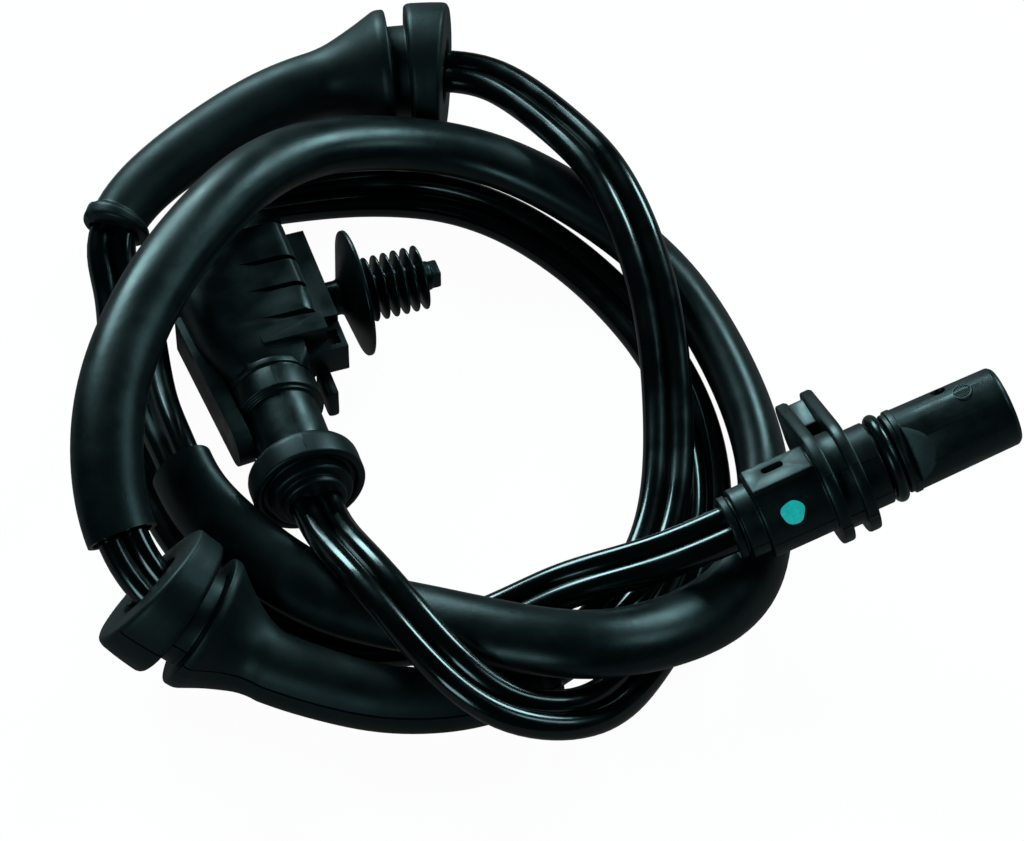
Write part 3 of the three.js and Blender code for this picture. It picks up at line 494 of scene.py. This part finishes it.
def scratch(form):
    """A passing object that the modifiers of a piece work with."""
    vertices, faces = form
    mesh = bpy.data.meshes.new("form")
    mesh.from_pydata(vertices, [], faces)
    work = bmesh.new()
    work.from_mesh(mesh)
    bmesh.ops.recalc_face_normals(work, faces=work.faces)
    work.to_mesh(mesh)
    work.free()
    piece = bpy.data.objects.new("form", mesh)
    bpy.context.collection.objects.link(piece)
    return piece


def combined(name, adds, cuts, place, sharp=32, soften=0.0):
    """Joins forms, cuts others away, and puts the result in its place."""
    body = scratch(adds[0])
    tools = []
    for kind, forms in (("UNION", adds[1:]), ("DIFFERENCE", cuts)):
        for form in forms:
            tool = scratch(form)
            tools.append(tool)
            step = body.modifiers.new("step", "BOOLEAN")
            step.operation = kind
            step.solver = "EXACT"
            step.object = tool
    if soften:
        bevel = body.modifiers.new("soften", "BEVEL")
        bevel.width = soften
        bevel.segments = 2
        bevel.limit_method = "ANGLE"
        bevel.angle_limit = math.radians(38)
        bevel.harden_normals = False
    graph = bpy.context.evaluated_depsgraph_get()
    result = bpy.data.meshes.new_from_object(body.evaluated_get(graph))
    for tool in tools + [body]:
        bpy.data.objects.remove(tool)
    result.transform(place)
    finish_mesh(result, sharp)
    piece = bpy.data.objects.new(name, result)
    bpy.context.collection.objects.link(piece)
    return piece


# Materials.
class Shader:
    """A Principled material and the nodes that vary it."""

    def __init__(self, name, colour, roughness, **sockets):
        self.material = bpy.data.materials.new(name)
        self.material.use_nodes = True
        self.tree = self.material.node_tree
        self.shader = self.tree.nodes["Principled BSDF"]
        self.shader.inputs["Base Color"].default_value = (*colour, 1)
        self.shader.inputs["Roughness"].default_value = roughness
        for socket, value in sockets.items():
            self.shader.inputs[socket.replace("_", " ")].default_value = value
        self.coordinates = self.tree.nodes.new("ShaderNodeTexCoord")

    def link(self, source, target):
        self.tree.links.new(source, target)

    def noise(self, scale, detail):
        node = self.tree.nodes.new("ShaderNodeTexNoise")
        node.inputs["Scale"].default_value = scale
        node.inputs["Detail"].default_value = detail
        self.link(self.coordinates.outputs["Object"], node.inputs["Vector"])
        return node.outputs["Fac"]

    def spread(self, source, low, high, start=0.35, end=0.65):
        """Maps the part of a noise from start to end onto low to high."""
        node = self.tree.nodes.new("ShaderNodeMapRange")
        node.inputs["From Min"].default_value = start
        node.inputs["From Max"].default_value = end
        node.inputs["To Min"].default_value = low
        node.inputs["To Max"].default_value = high
        self.link(source, node.inputs["Value"])
        return node.outputs["Result"]

    def colours(self, source, first, second):
        node = self.tree.nodes.new("ShaderNodeMix")
        node.data_type = "RGBA"
        node.inputs["A"].default_value = (*first, 1)
        node.inputs["B"].default_value = (*second, 1)
        self.link(source, node.inputs["Factor"])
        self.link(node.outputs["Result"], self.shader.inputs["Base Color"])

    def bump(self, source, strength, distance, before=None):
        node = self.tree.nodes.new("ShaderNodeBump")
        node.inputs["Strength"].default_value = strength
        node.inputs["Distance"].default_value = distance
        self.link(source, node.inputs["Height"])
        if before is not None:
            self.link(before, node.inputs["Normal"])
        self.link(node.outputs["Normal"], self.shader.inputs["Normal"])
        return node.outputs["Normal"]


# The black plastics and rubbers shine with a cool, slightly green tint.
GLOSS_TINT = (0.66, 0.96, 1.0, 1)
PLASTIC_BLACK = (0.0022, 0.0042, 0.0048)
RUBBER_BLACK = (0.0024, 0.0046, 0.0053)
JACKET_BLACK = (0.0012, 0.0018, 0.002)
RESIN_BLACK = (0.02, 0.02, 0.022)


def plastic(name, colour=PLASTIC_BLACK, roughness=(0.3, 0.46), grain=0.25):
    """Moulded plastic: fine grain, uneven gloss and specks of dust."""
    made = Shader(name, colour, sum(roughness) / 2, Specular_Tint=GLOSS_TINT)
    cloudy = made.noise(scale=260, detail=5)
    made.link(made.spread(cloudy, *roughness), made.shader.inputs["Roughness"])
    dust = made.spread(made.noise(scale=2600, detail=2), 0, 1, start=0.66, end=0.74)
    dusty = tuple(c * 2.6 + 0.006 for c in colour)
    made.colours(dust, colour, dusty)
    coarse = made.bump(made.noise(scale=900, detail=3), grain, distance=0.00006)
    made.bump(made.noise(scale=5200, detail=2), grain, distance=0.00002, before=coarse)
    return made.material


def rubber(name, colour=RUBBER_BLACK, roughness=(0.28, 0.4), grain=0.3):
    """Rubber: pale bloom in patches, uneven gloss and a soft grain."""
    made = Shader(
        name, colour, sum(roughness) / 2, Specular_Tint=GLOSS_TINT, Specular_IOR_Level=0.42)
    cloudy = made.noise(scale=150, detail=6)
    made.link(made.spread(cloudy, *roughness), made.shader.inputs["Roughness"])
    bloom = made.spread(made.noise(scale=420, detail=5), 0, 1, start=0.4, end=0.8)
    bloomed = tuple(c * 1.9 + 0.001 for c in colour)
    made.colours(bloom, colour, bloomed)
    coarse = made.bump(made.noise(scale=700, detail=4), grain, distance=0.00008)
    made.bump(made.noise(scale=4200, detail=2), grain, distance=0.00003, before=coarse)
    return made.material


def jacket(name):
    """The cable's glossy jacket, with slow waves in its surface."""
    made = Shader(
        name, JACKET_BLACK, 0.16, Specular_Tint=GLOSS_TINT, Coat_Weight=0.3,
        Coat_Roughness=0.09)
    gloss = made.spread(made.noise(scale=180, detail=4), 0.13, 0.26)
    made.link(gloss, made.shader.inputs["Roughness"])
    made.bump(made.noise(scale=160, detail=3), strength=0.25, distance=0.00012)
    return made.material


def metal(name, colour, roughness):
    made = Shader(name, colour, roughness, Metallic=1.0)
    worn = made.spread(made.noise(scale=900, detail=4), roughness - 0.08, roughness + 0.1)
    made.link(worn, made.shader.inputs["Roughness"])
    return made.material


def paint(name):
    """The dab of teal paint, thicker and thinner in places, with a faint painted glow."""
    # The emission is a painted glow: the dab gives off a little teal light of its own.
    made = Shader(name, (0.02, 0.8, 0.78), 0.42, Emission_Strength=0.2)
    made.shader.inputs["Emission Color"].default_value = (0.02, 0.85, 0.82, 1)
    mottle = made.spread(made.noise(scale=1500, detail=4), 0, 1, start=0.35, end=0.7)
    made.colours(mottle, (0.015, 0.62, 0.60), (0.05, 0.95, 0.90))
    made.bump(made.noise(scale=1800, detail=3), strength=0.4, distance=0.00006)
    return made.material


LOOKS = {
    "head": plastic("head_plastic", roughness=(0.34, 0.5)),
    "plug": plastic("plug_plastic"),
    "clip": plastic("clip_plastic", roughness=(0.26, 0.4)),
    "ring": plastic("ring_rubber", roughness=(0.2, 0.3), grain=0.1),
    "sleeve": rubber("sleeve_rubber"),
    "grommet": rubber("grommet_rubber", roughness=(0.42, 0.56)),
    "boot": rubber("boot_rubber", roughness=(0.36, 0.5), grain=0.2),
    "cable": jacket("cable_jacket"),
    "brass": metal("brass", (0.60, 0.45, 0.20), 0.3),
    "copper": metal("copper", (0.60, 0.30, 0.17), 0.35),
    "magnet": metal("magnet", (0.25, 0.26, 0.28), 0.45),
    "chip": plastic("chip_resin", colour=RESIN_BLACK),
    "paint": paint("marker_paint_painted_glow"),
}


def dress(piece, look, slot=None, *nodes):
    """Gives a piece its material and its body, and hides the nodes that it stands for. The slot is
    not used.
    """
    piece.data.materials.clear()
    piece.data.materials.append(LOOKS[look])
    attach(piece, "root")
    if nodes:
        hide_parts(*nodes)
    return piece


# The cable, sleeve and grommets.
def make_cable():
    station_count = 720
    stations = np.linspace(0, route.length, station_count)
    rings = along_route(stations, twin(count=40))
    piece = new_object("cable", *loft(rings), sharp=50)
    dress(piece, "cable", "cable_jacket", "twin_cable")
    path = [tuple(LAID @ Vector(route.frame(d)[0])) for d in stations]
    return piece, path


def make_sleeve():
    """A wall with an outer and an inner side, joined by a lip at either end."""
    station_count, point_count = 210, 56
    lip_share = 0.7
    start, end = SLEEVE
    stations = np.linspace(start, end, station_count)
    width, height = SLEEVE_SIZE
    a = angles(point_count)
    outer = np.stack([width / 2 * np.cos(a), height / 2 * np.sin(a)], 1)
    inner = np.stack([
        (width / 2 - SLEEVE_WALL) * np.cos(a), (height / 2 - SLEEVE_WALL) * np.sin(a),
    ], 1)
    middle = (outer + inner) / 2
    lip = middle + (outer - middle) * lip_share
    rings = along_route(stations, outer)
    rings += along_route([end], lip)
    rings += along_route(stations[::-1], inner)
    rings += along_route([start], lip)
    piece = new_object("sleeve", *loft(rings, loop=True), sharp=50)
    return dress(piece, "sleeve", "sleeve_rubber", "protective_sleeve")


def swung(ring, x, face):
    """The lower grommet's flange leans a little more than the cable."""
    at, along, _, _ = route.frame(face - LEAN_PIVOT)
    turn = Vector(along).rotation_difference(Vector(LEAN).normalized())
    share = min(max((LEAN_UNTIL - x) / LEAN_FADE, 0), 1)
    part = Matrix.Rotation(turn.angle * share, 3, turn.axis)
    return np.array([tuple(part @ Vector(p - at)) for p in ring]) + at


def grommet_shapes(seam):
    """A grommet's rings as (x, outline): out of its bore, over its outside and in again."""
    bore = twin(0.12)
    wide = PITCH + CORE + RECESS_MARGIN
    tall = CORE + RECESS_MARGIN
    shapes = [
        (4.5, bore), (RECESS_DEPTH + 0.2, bore), (RECESS_DEPTH, twin(0.35)),
        (RECESS_DEPTH, oblong(wide - 0.8, tall - 0.8)),
        (RECESS_DEPTH - 0.3, oblong(wide, tall)), (0.3, oblong(wide, tall)),
        (0.0, oblong(wide + 0.6, tall + 0.6)),
    ]
    bead_start = GROMMET_LENGTH - BEAD_LENGTH
    bead_end = GROMMET_LENGTH - 0.4
    profile = rounded([
        (0, 8.2), (0, FLANGE_RADIUS, 1.3), (FLANGE_THICKNESS, FLANGE_RADIUS, 1.0),
        (FLANGE_THICKNESS, GROOVE_RADIUS, 0.3), (CONE_START, GROOVE_RADIUS, 0.3),
        (CONE_START, CONE_RADIUS, 0.5), (9.8, CONE_RADIUS, 0.6), (13.4, 7.3, 2.0),
        (TUBE_START, TUBE_RADIUS, 3.0), (36, 4.6, 0.3), (bead_start - 0.6, 4.1, 0.3),
        (bead_start, BEAD_RADIUS, 0.7), (bead_end, BEAD_RADIUS, 0.7),
        (GROMMET_LENGTH, 4.0, 0.2), (GROMMET_LENGTH, 3.4),
    ], steps=5)
    for before, after in zip(profile, profile[1:]):
        parts = max(int((after[0] - before[0]) / 1.2), 1)
        for k in range(parts):
            x = before[0] + (after[0] - before[0]) * k / parts
            r = before[1] + (after[1] - before[1]) * k / parts
            shapes.append((x, circle(r, seam=None if x < 0.2 else seam)))
    shapes += [(GROMMET_LENGTH, oblong(8, 4.6)), (bead_end, twin(0.15)), (54, bore)]
    return shapes


def make_grommet(node):
    face = FLANGES_AT[node]
    shapes = grommet_shapes(GROMMET_SEAMS[node])
    rings = []
    for x, shape in shapes:
        rings += along_route([face - x], shape)
    if node == "lower_grommet":
        for i in range(BORE_RINGS, len(rings)):
            rings[i] = swung(rings[i], shapes[i][0], face)
    name = node.replace("_", "_fine_", 1)
    piece = new_object(name, *loft(rings, closed=(False, False)), sharp=40)
    return dress(piece, "grommet", "grommet_rubber", node)


# The sensing head.
def on_top(x, y, z):
    """Points a form that lies along X upwards, from a spot on the head."""
    return Matrix.Translation((x, y, z)) @ Matrix.Rotation(-math.pi / 2, 4, "Y")


def ear_outline(reach, half=4.8, steps=40):
    """A flange's outline: round about the body, narrowing to the ear's end."""
    slope = math.asin((EAR_RADIUS - half) / reach)
    points = []
    for k in range(steps + 1):
        angle = math.pi / 2 - slope + (math.pi + 2 * slope) * k / steps
        points.append((EAR_RADIUS * math.cos(angle), EAR_RADIUS * math.sin(angle)))
    points += [
        (reach - 1.9, -half), (reach - 0.6, -half + 0.9), (reach, -half + 2.2),
        (reach, half - 2.2), (reach - 0.6, half - 0.9), (reach - 1.9, half),
    ]
    return points


def head_shell():
    return turned(rounded([
        (0, 0), (0, LIP_RADIUS), (LIP_END, LIP_RADIUS), (LIP_END, 4.1), (COLLAR_START, 4.1),
        (COLLAR_START, COLLAR_RADIUS), (COLLAR_END, COLLAR_RADIUS),
        (COLLAR_END, BODY_RADIUS, 0.4), (BODY_END, BODY_RADIUS), (BODY_END, FLANGE_CORE_RADIUS),
        (FLANGES_END, FLANGE_CORE_RADIUS), (FLANGES_END, SHOULDER_RADIUS),
        (SHOULDER_END, SHOULDER_RADIUS), (SHOULDER_END, SEAT_RADIUS), (SEAT_END, SEAT_RADIUS),
        (SEAT_END, STOP_STEP_RADIUS), (STOP_STEP, STOP_STEP_RADIUS), (STOP_STEP, STOP_RADIUS),
        (STOP_END, STOP_RADIUS), (STOP_END, TIP_REAR_RADIUS),
        (HEAD_LENGTH - TIP_EDGE, TIP_RADIUS), (HEAD_LENGTH, TIP_RADIUS - 0.5, 0.3),
        (HEAD_LENGTH, 0),
    ]))


def head_seams():
    """Fine raised lines where the mould's halves met, step by step along the head."""
    steps = (
        (1.8, 4.1, COLLAR_RADIUS), (4.5, 13.4, BODY_RADIUS), (13.7, 15.1, EAR_RADIUS),
        (15.3, 17.4, FLANGE_CORE_RADIUS), (17.6, 19, EAR_RADIUS),
        (19.3, 22.1, SHOULDER_RADIUS), (25.6, 26.3, STOP_RADIUS),
    )
    half_width, height, root = 0.06, 0.07, 0.4
    seams = []
    for angle in (42, 100):
        for start, end, reach in steps:
            low = (start, -half_width, reach - root)
            high = (end, half_width, reach + height)
            seams.append(turned_about_x(box_between(low, high, 0), angle))
    return seams


def make_head():
    front_ear = FLANGES_END - EAR_THICKNESS
    ears = [
        slab(ear_outline(EAR_REACHES[0]), BODY_END, BODY_END + EAR_THICKNESS, 0.25),
        slab(ear_outline(EAR_REACHES[1]), front_ear, FLANGES_END, 0.25),
    ]
    bridge = box_between((14.4, 9, -3.5), (18.3, 14.8, 3.5), 0.3)
    pad = box_between((4.4, -2.6, 0), (13.4, 2.6, BODY_RADIUS + 0.15), 0.3)
    slot = moved(slab(rounded_rectangle(1.3, 3.2, 0.55, 4), 5.2, 8), on_top(8.5, 0.7, 0))
    hole_radius = 1.05
    hole = turned([(0, 0), (0, hole_radius), (4, hole_radius), (4, 0)], 32)
    hole = turned_about_x(moved(hole, on_top(33.5, 0, 4.55)), -20)
    slope = math.atan2(SCOOP_FALL, SCOOP_LENGTH)
    scoop_place = Matrix.Translation((STOP_END, 0, SCOOP_FLOOR)) @ Matrix.Rotation(-slope, 4, "Y")
    scoop = turned_about_x(
        moved(box_between((0, -12, 0), (7, 12, 12), 0), scoop_place), SCOOP_TURN)
    bore = turned_about_x(
        slab([tuple(p) for p in twin(0.3, 48)], -1, 5), CABLE_TURN_IN_HEAD)
    mark = tube_ring([(0, 1.2), (0, 1.35), (0.07, 1.35), (0.07, 1.2)], 40)
    mark = turned_about_x(moved(mark, on_top(36.2, 0, 5.72)), 5)
    piece = combined(
        "head", [head_shell(), *ears, bridge, pad, mark, *head_seams()],
        [slot, hole, scoop, bore], HEAD, soften=0.1)
    dress(piece, "head", "head_plastic", "sensor_housing")


def make_o_ring():
    x, r = RING_CENTRE
    section = [
        (x + RING_RADIUS * math.cos(a), r + RING_RADIUS * math.sin(a)) for a in angles(20)
    ]
    ring = new_object("o_ring", *tube_ring(section), place=HEAD)
    dress(ring, "ring", "seal_rubber", "sensor_o_ring")


def make_paint_dot():
    """A dab of paint on the body, with an uneven edge."""
    ring_count = 6
    thickness = 0.10
    rows = []
    for k in range(1, ring_count + 1):
        spread = DOT_RADIUS * k / ring_count
        lift = thickness * (1 - (k / ring_count) ** 4)
        row = []
        for a in angles(40):
            wobble = 1 + 0.05 * math.sin(3 * a) + 0.03 * math.sin(5 * a + 1)
            across = spread * wobble * math.sin(a)
            height = math.sqrt(max(BODY_RADIUS ** 2 - across ** 2, 0)) + lift
            row.append((DOT_AT + spread * wobble * math.cos(a), across, height))
        rows.append(row)
    form = turned_about_x(loft(rows, closed=(True, False)), DOT_TURN)
    dress(new_object("paint_dot", *form, place=HEAD), "paint")


# The plug with its clip.
def narrowed(shape, x):
    """The housing's left side draws in towards the rear, where the side plate is."""
    rear_share = 0.77
    share = rear_share + 0.0075 * (x - HOUSING_START)
    across = np.where(shape[:, 0] > 0, shape[:, 0] * share, shape[:, 0])
    return np.column_stack([across, shape[:, 1]])


def housing_form():
    """The housing, from the round collar into the full section."""
    steps = 18
    centre = (HOUSING_SHIFT, 0)
    outline = np.array(rounded_rectangle(*HOUSING_SIZE, HOUSING_CORNERS, 10)) + centre
    turn = np.arctan2(outline[:, 1], outline[:, 0] - HOUSING_SHIFT)
    collar = PLUG_COLLAR_RADIUS * np.stack([np.cos(turn), np.sin(turn)], 1)
    sections = []
    for k in range(steps + 1):
        share = math.sin(math.pi / 2 * k / steps) ** 0.8
        sections.append((
            HOUSING_START + LOFT_LENGTH * k / steps, collar + (outline - collar) * share))
    for x, share in ((HOUSING_END - 0.4, 1), (HOUSING_END, 0.96)):
        sections.append((x, centre + (outline - centre) * share))
    rings = [
        np.column_stack([np.full(len(shape), x), narrowed(shape, x)]) for x, shape in sections
    ]
    return loft(rings)


def grip_groove(start):
    """A cut that grows deeper towards the housing's right side."""
    tool = box_between((start, -9.6, 0), (start + GRIP_WIDTH, 0, 12), 0)
    lean = Matrix.Rotation(math.atan2(GRIP_DEPTH, GRIP_LENGTH), 4, "X")
    return moved(tool, Matrix.Translation((0, -0.3, 7.35)) @ lean)


def side_plate():
    """The plate along the housing's left side, with a round rear end."""
    centre = PLATE_REAR + PLATE_HALF
    outline = [(PLATE_FRONT, -PLATE_HALF), (centre, -PLATE_HALF)]
    outline += [
        (centre - PLATE_HALF * math.sin(a), -PLATE_HALF * math.cos(a))
        for a in np.linspace(0, math.pi, 17)[1:-1]
    ]
    outline += [(centre, PLATE_HALF), (PLATE_FRONT, PLATE_HALF)]
    lean = Matrix.Rotation(math.radians(PLATE_LEAN), 4, "Z")
    hinge = Matrix.Translation((HOUSING_START, 8.4, 0))
    back = Matrix.Translation((-HOUSING_START, 0, 0))
    return moved(upright(outline, -2.2, 0.2, 0.15), hinge @ lean @ back)


def clip_rails():
    """Two hooked rails that hold the clip's base: a web and a lip on each side."""
    start, end = RAILS
    web = (-RAIL_REACH, -8.4, 4.3, 5.1)
    lip = (-RAIL_REACH, -11.1, 2.9, 5.1)
    middle = CLIP_AT[2]
    pieces = []
    for side in (-1, 1):
        for outer, inner, low, high in (web, lip):
            near, far = sorted((side * low + middle, side * high + middle))
            pieces.append(box_between((start, outer, near), (end, inner, far), 0.12))
    return pieces


def cable_bore(start, end, margin):
    form = slab([tuple(p) for p in twin(margin, 48)], start, end)
    return turned_about_x(form, CABLE_TURN_IN_PLUG)


def cut_housing():
    """The lofted housing, cut back at its shoulder and its nose, as a form."""
    shoulder = box_between((17.6, -20, -14), (SHOULDER_CUT_END, -5.8, 14), 0)
    nose = box_between((NOSE_START, 7.8, -14), (46, 20, 14), 0)
    body = combined("body", [housing_form()], [shoulder, nose], Matrix.Identity(4))
    vertices = [tuple(v.co) for v in body.data.vertices]
    faces = [tuple(f.vertices) for f in body.data.polygons]
    bpy.data.objects.remove(body)
    return vertices, faces


def make_plug():
    collar = PLUG_COLLAR_RADIUS
    neck = turned(rounded([
        (NECK_START, 0), (NECK_START, NECK_RADIUS), (14.1, NECK_RADIUS), (14.1, 5.9),
        (NECK_END, 5.9), (NECK_END, collar, 0.35), (18.3, collar), (18.3, 6.1), (18.9, 6.1),
        (18.9, collar), (20, collar), (20, 0),
    ]))
    bracket = box_between((20.3, -RAIL_REACH, -0.6), (26.4, -4.8, 4.2), 0.2)
    window = box_between((21.2, -11.1, -3), (23.9, -9.4, 6), 0)
    arm = box_between((15.6, -9, -4.6), (22, -7.2, 0.4), 0.7)
    lug = box_between((22.2, -9.6, 2), (25.8, 0, 6.9), 0.5)
    seams = [
        box_between((5.2, -SEAM_HALF, 5), (14, SEAM_HALF, NECK_RADIUS + 0.1), 0),
        box_between((14.8, -SEAM_HALF, 6), (18.2, SEAM_HALF, collar + 0.1), 0),
    ]
    opening = slab(rounded_rectangle(14.2, 11.6, 2.1), 28.4, 46)
    socket = moved(opening, Matrix.Translation((0, -0.8, 0)))
    seat = slab(rounded_rectangle(10.2, 7, 1), 22.1, 29.4)
    grooves = [grip_groove(GRIPS_START + i * GRIP_PITCH) for i in range(3)]
    piece = combined(
        "plug",
        [cut_housing(), neck, bracket, arm, lug, side_plate(), *clip_rails(), *seams],
        [*grooves, window, socket, seat, cable_bore(0, 15.8, 0.3)], PLUG, soften=0.12)
    return dress(piece, "plug", "plug_plastic", "plug_housing")


def make_boot():
    """The boot: a thick rim, and two steps that stand out round the cable."""
    rim = turned(rounded([
        (-2.6, 0), (-2.6, 4.6, 0.5), (-1.3, 4.6), (-1.3, 5.9, 0.6), (0.7, 5.9), (0.7, 6.6),
        (0, 7, 0.3), (0, BOOT_RADIUS, 0.8), (BOOT_LENGTH, BOOT_RADIUS, 1.6), (BOOT_LENGTH, 0),
    ], steps=6))
    seam = box_between((1.2, -SEAM_HALF, 7.6), (3.4, SEAM_HALF, BOOT_RADIUS + 0.1), 0)
    piece = combined("boot", [rim, seam], [cable_bore(-4, 6, 0.2)], PLUG, soften=0.15)
    return dress(piece, "boot", "seal_rubber", "plug_boot")


def make_clip():
    """The clip: base, dish, stem with slanted fins, and a square tip."""
    stem_radius = CLIP_STEM_RADIUS
    rim_start, rim_end = DISH_RIM
    base = box_between((0, -4.5, -4), (1.1, 4.5, 4), 0.2)
    profile = [
        (0.8, 0), (0.8, 2.5), (4.7, 2.5, 0.6), (rim_start, DISH_RADIUS, 0.2),
        (rim_end, DISH_RADIUS, 0.2), (5.8, stem_radius, 0.3),
    ]
    for i in range(FIN_COUNT):
        at = FINS_START + i * FIN_PITCH
        profile += [
            (at, stem_radius), (at + 0.35, FIN_RADIUS), (at + 0.7, FIN_RADIUS),
            (at + 0.85, stem_radius),
        ]
    profile += [(18, 2.1), (18.4, 1.6), (18.4, 0)]
    stem = turned(rounded(profile, 0.22), 64)
    tip = box_between((CLIP_TIP_START, -1.5, -1.5), (CLIP_LENGTH, 1.5, 1.5), 0.45)
    turn = Matrix.Translation(CLIP_AT) @ Matrix.Rotation(-math.pi / 2, 4, "Z")
    piece = combined("clip", [base, stem, tip], [], PLUG @ turn)
    return dress(piece, "clip", "clip_plastic", "fir_tree_clip")


# The surface below, the lights and the surroundings.
FLOOR_COLOUR = (0.5, 0.6, 0.62, 1)


def floor_material():
    """White to the camera, dim to reflections, and a soft grey surface to the light."""
    camera_strength = 0.98
    base_strength = 0.1
    share_of_white = 0.9
    material = bpy.data.materials.new("floor")
    material.use_nodes = True
    nodes = material.node_tree.nodes
    link = material.node_tree.links.new
    nodes.clear()
    output = nodes.new("ShaderNodeOutputMaterial")
    mix = nodes.new("ShaderNodeMixShader")
    path = nodes.new("ShaderNodeLightPath")
    soft = nodes.new("ShaderNodeBsdfDiffuse")
    soft.inputs["Color"].default_value = FLOOR_COLOUR
    white = nodes.new("ShaderNodeEmission")
    strength = nodes.new("ShaderNodeMath")
    strength.operation = "MULTIPLY_ADD"
    strength.inputs[1].default_value = camera_strength
    strength.inputs[2].default_value = base_strength
    seen = nodes.new("ShaderNodeMath")
    seen.operation = "MAXIMUM"
    share = nodes.new("ShaderNodeMath")
    share.operation = "MULTIPLY"
    share.inputs[1].default_value = share_of_white
    link(path.outputs["Is Camera Ray"], strength.inputs[0])
    link(strength.outputs[0], white.inputs["Strength"])
    link(path.outputs["Is Camera Ray"], seen.inputs[0])
    link(path.outputs["Is Glossy Ray"], seen.inputs[1])
    link(seen.outputs[0], share.inputs[0])
    link(share.outputs[0], mix.inputs["Fac"])
    link(soft.outputs["BSDF"], mix.inputs[1])
    link(white.outputs["Emission"], mix.inputs[2])
    link(mix.outputs["Shader"], output.inputs["Surface"])
    return material


def add_stage():
    """A large floor at the height of the surface; its reach is in metres."""
    height = (LAID @ Vector((0, 0, 0))).z
    reach = 3
    corners = [
        (-reach, -reach, height), (reach, -reach, height), (reach, reach, height),
        (-reach, reach, height),
    ]
    mesh = bpy.data.meshes.new("floor")
    mesh.from_pydata(corners, [], [(0, 1, 2, 3)])
    floor = bpy.data.objects.new("floor", mesh)
    bpy.context.collection.objects.link(floor)
    mesh.materials.append(floor_material())


# Each light: where it stands to the right, away and up, in millimetres, its two sides in
# metres, and its power in watts.
LIGHTS = {
    "key": ((-480, 920, 500), (0.5, 0.4), 9),
    "side": ((560, 740, 560), (0.3, 0.3), 4.5),
    "front": ((-420, -800, 420), (0.3, 0.3), 1.6),
    "fill": ((760, 100, 760), (0.2, 0.4), 1.4),
}
LIGHT_COLOUR = (0.7, 0.98, 1.0)
WORLD_COLOUR = (0.55, 0.92, 1.0, 1)
WORLD_STRENGTH = 0.015


def add_light(name, place, size, power):
    data = bpy.data.lights.new(name, "AREA")
    data.shape = "RECTANGLE"
    data.size, data.size_y = size
    data.energy = power
    data.color = LIGHT_COLOUR
    light = bpy.data.objects.new(name, data)
    light.location = LAID @ Vector(place)
    aim = LAID @ Vector((0, 0, 0))
    light.rotation_euler = (aim - light.location).to_track_quat("-Z", "Y").to_euler()
    bpy.context.collection.objects.link(light)


def add_surroundings():
    world = bpy.data.worlds.new("world")
    world.use_nodes = True
    background = world.node_tree.nodes["Background"]
    background.inputs["Color"].default_value = WORLD_COLOUR
    background.inputs["Strength"].default_value = WORLD_STRENGTH
    bpy.context.scene.world = world
    bpy.context.scene.view_settings.view_transform = "Standard"
    for name, light in LIGHTS.items():
        add_light(name, *light)


# The hidden pieces stay as they are and get their materials.
HIDDEN_LOOKS = {
    "contact_carrier": "plug", "contact_lock": "plug", "front_seal": "ring",
    "contact_1": "brass", "contact_2": "brass", "wire_seal_1": "ring",
    "wire_seal_2": "ring", "plug_conductor_1": "copper", "plug_conductor_2": "copper",
    "element_carrier": "head", "bias_magnet": "magnet", "hall_chip": "chip",
    "lead_strip_1": "copper", "lead_strip_2": "copper", "head_conductor_1": "copper",
    "head_conductor_2": "copper",
}


def dress_hidden_pieces():
    for node, look in HIDDEN_LOOKS.items():
        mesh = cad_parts[node].data
        mesh.materials.clear()
        mesh.materials.append(LOOKS[look])


add_camera()
cable, cable_path = make_cable()
sleeve = make_sleeve()
grommets = [make_grommet(node) for node in FLANGES_AT]
make_head()
make_o_ring()
make_paint_dot()
on_cable = [make_plug(), make_boot(), make_clip()]
dress_hidden_pieces()
add_stage()
add_surroundings()
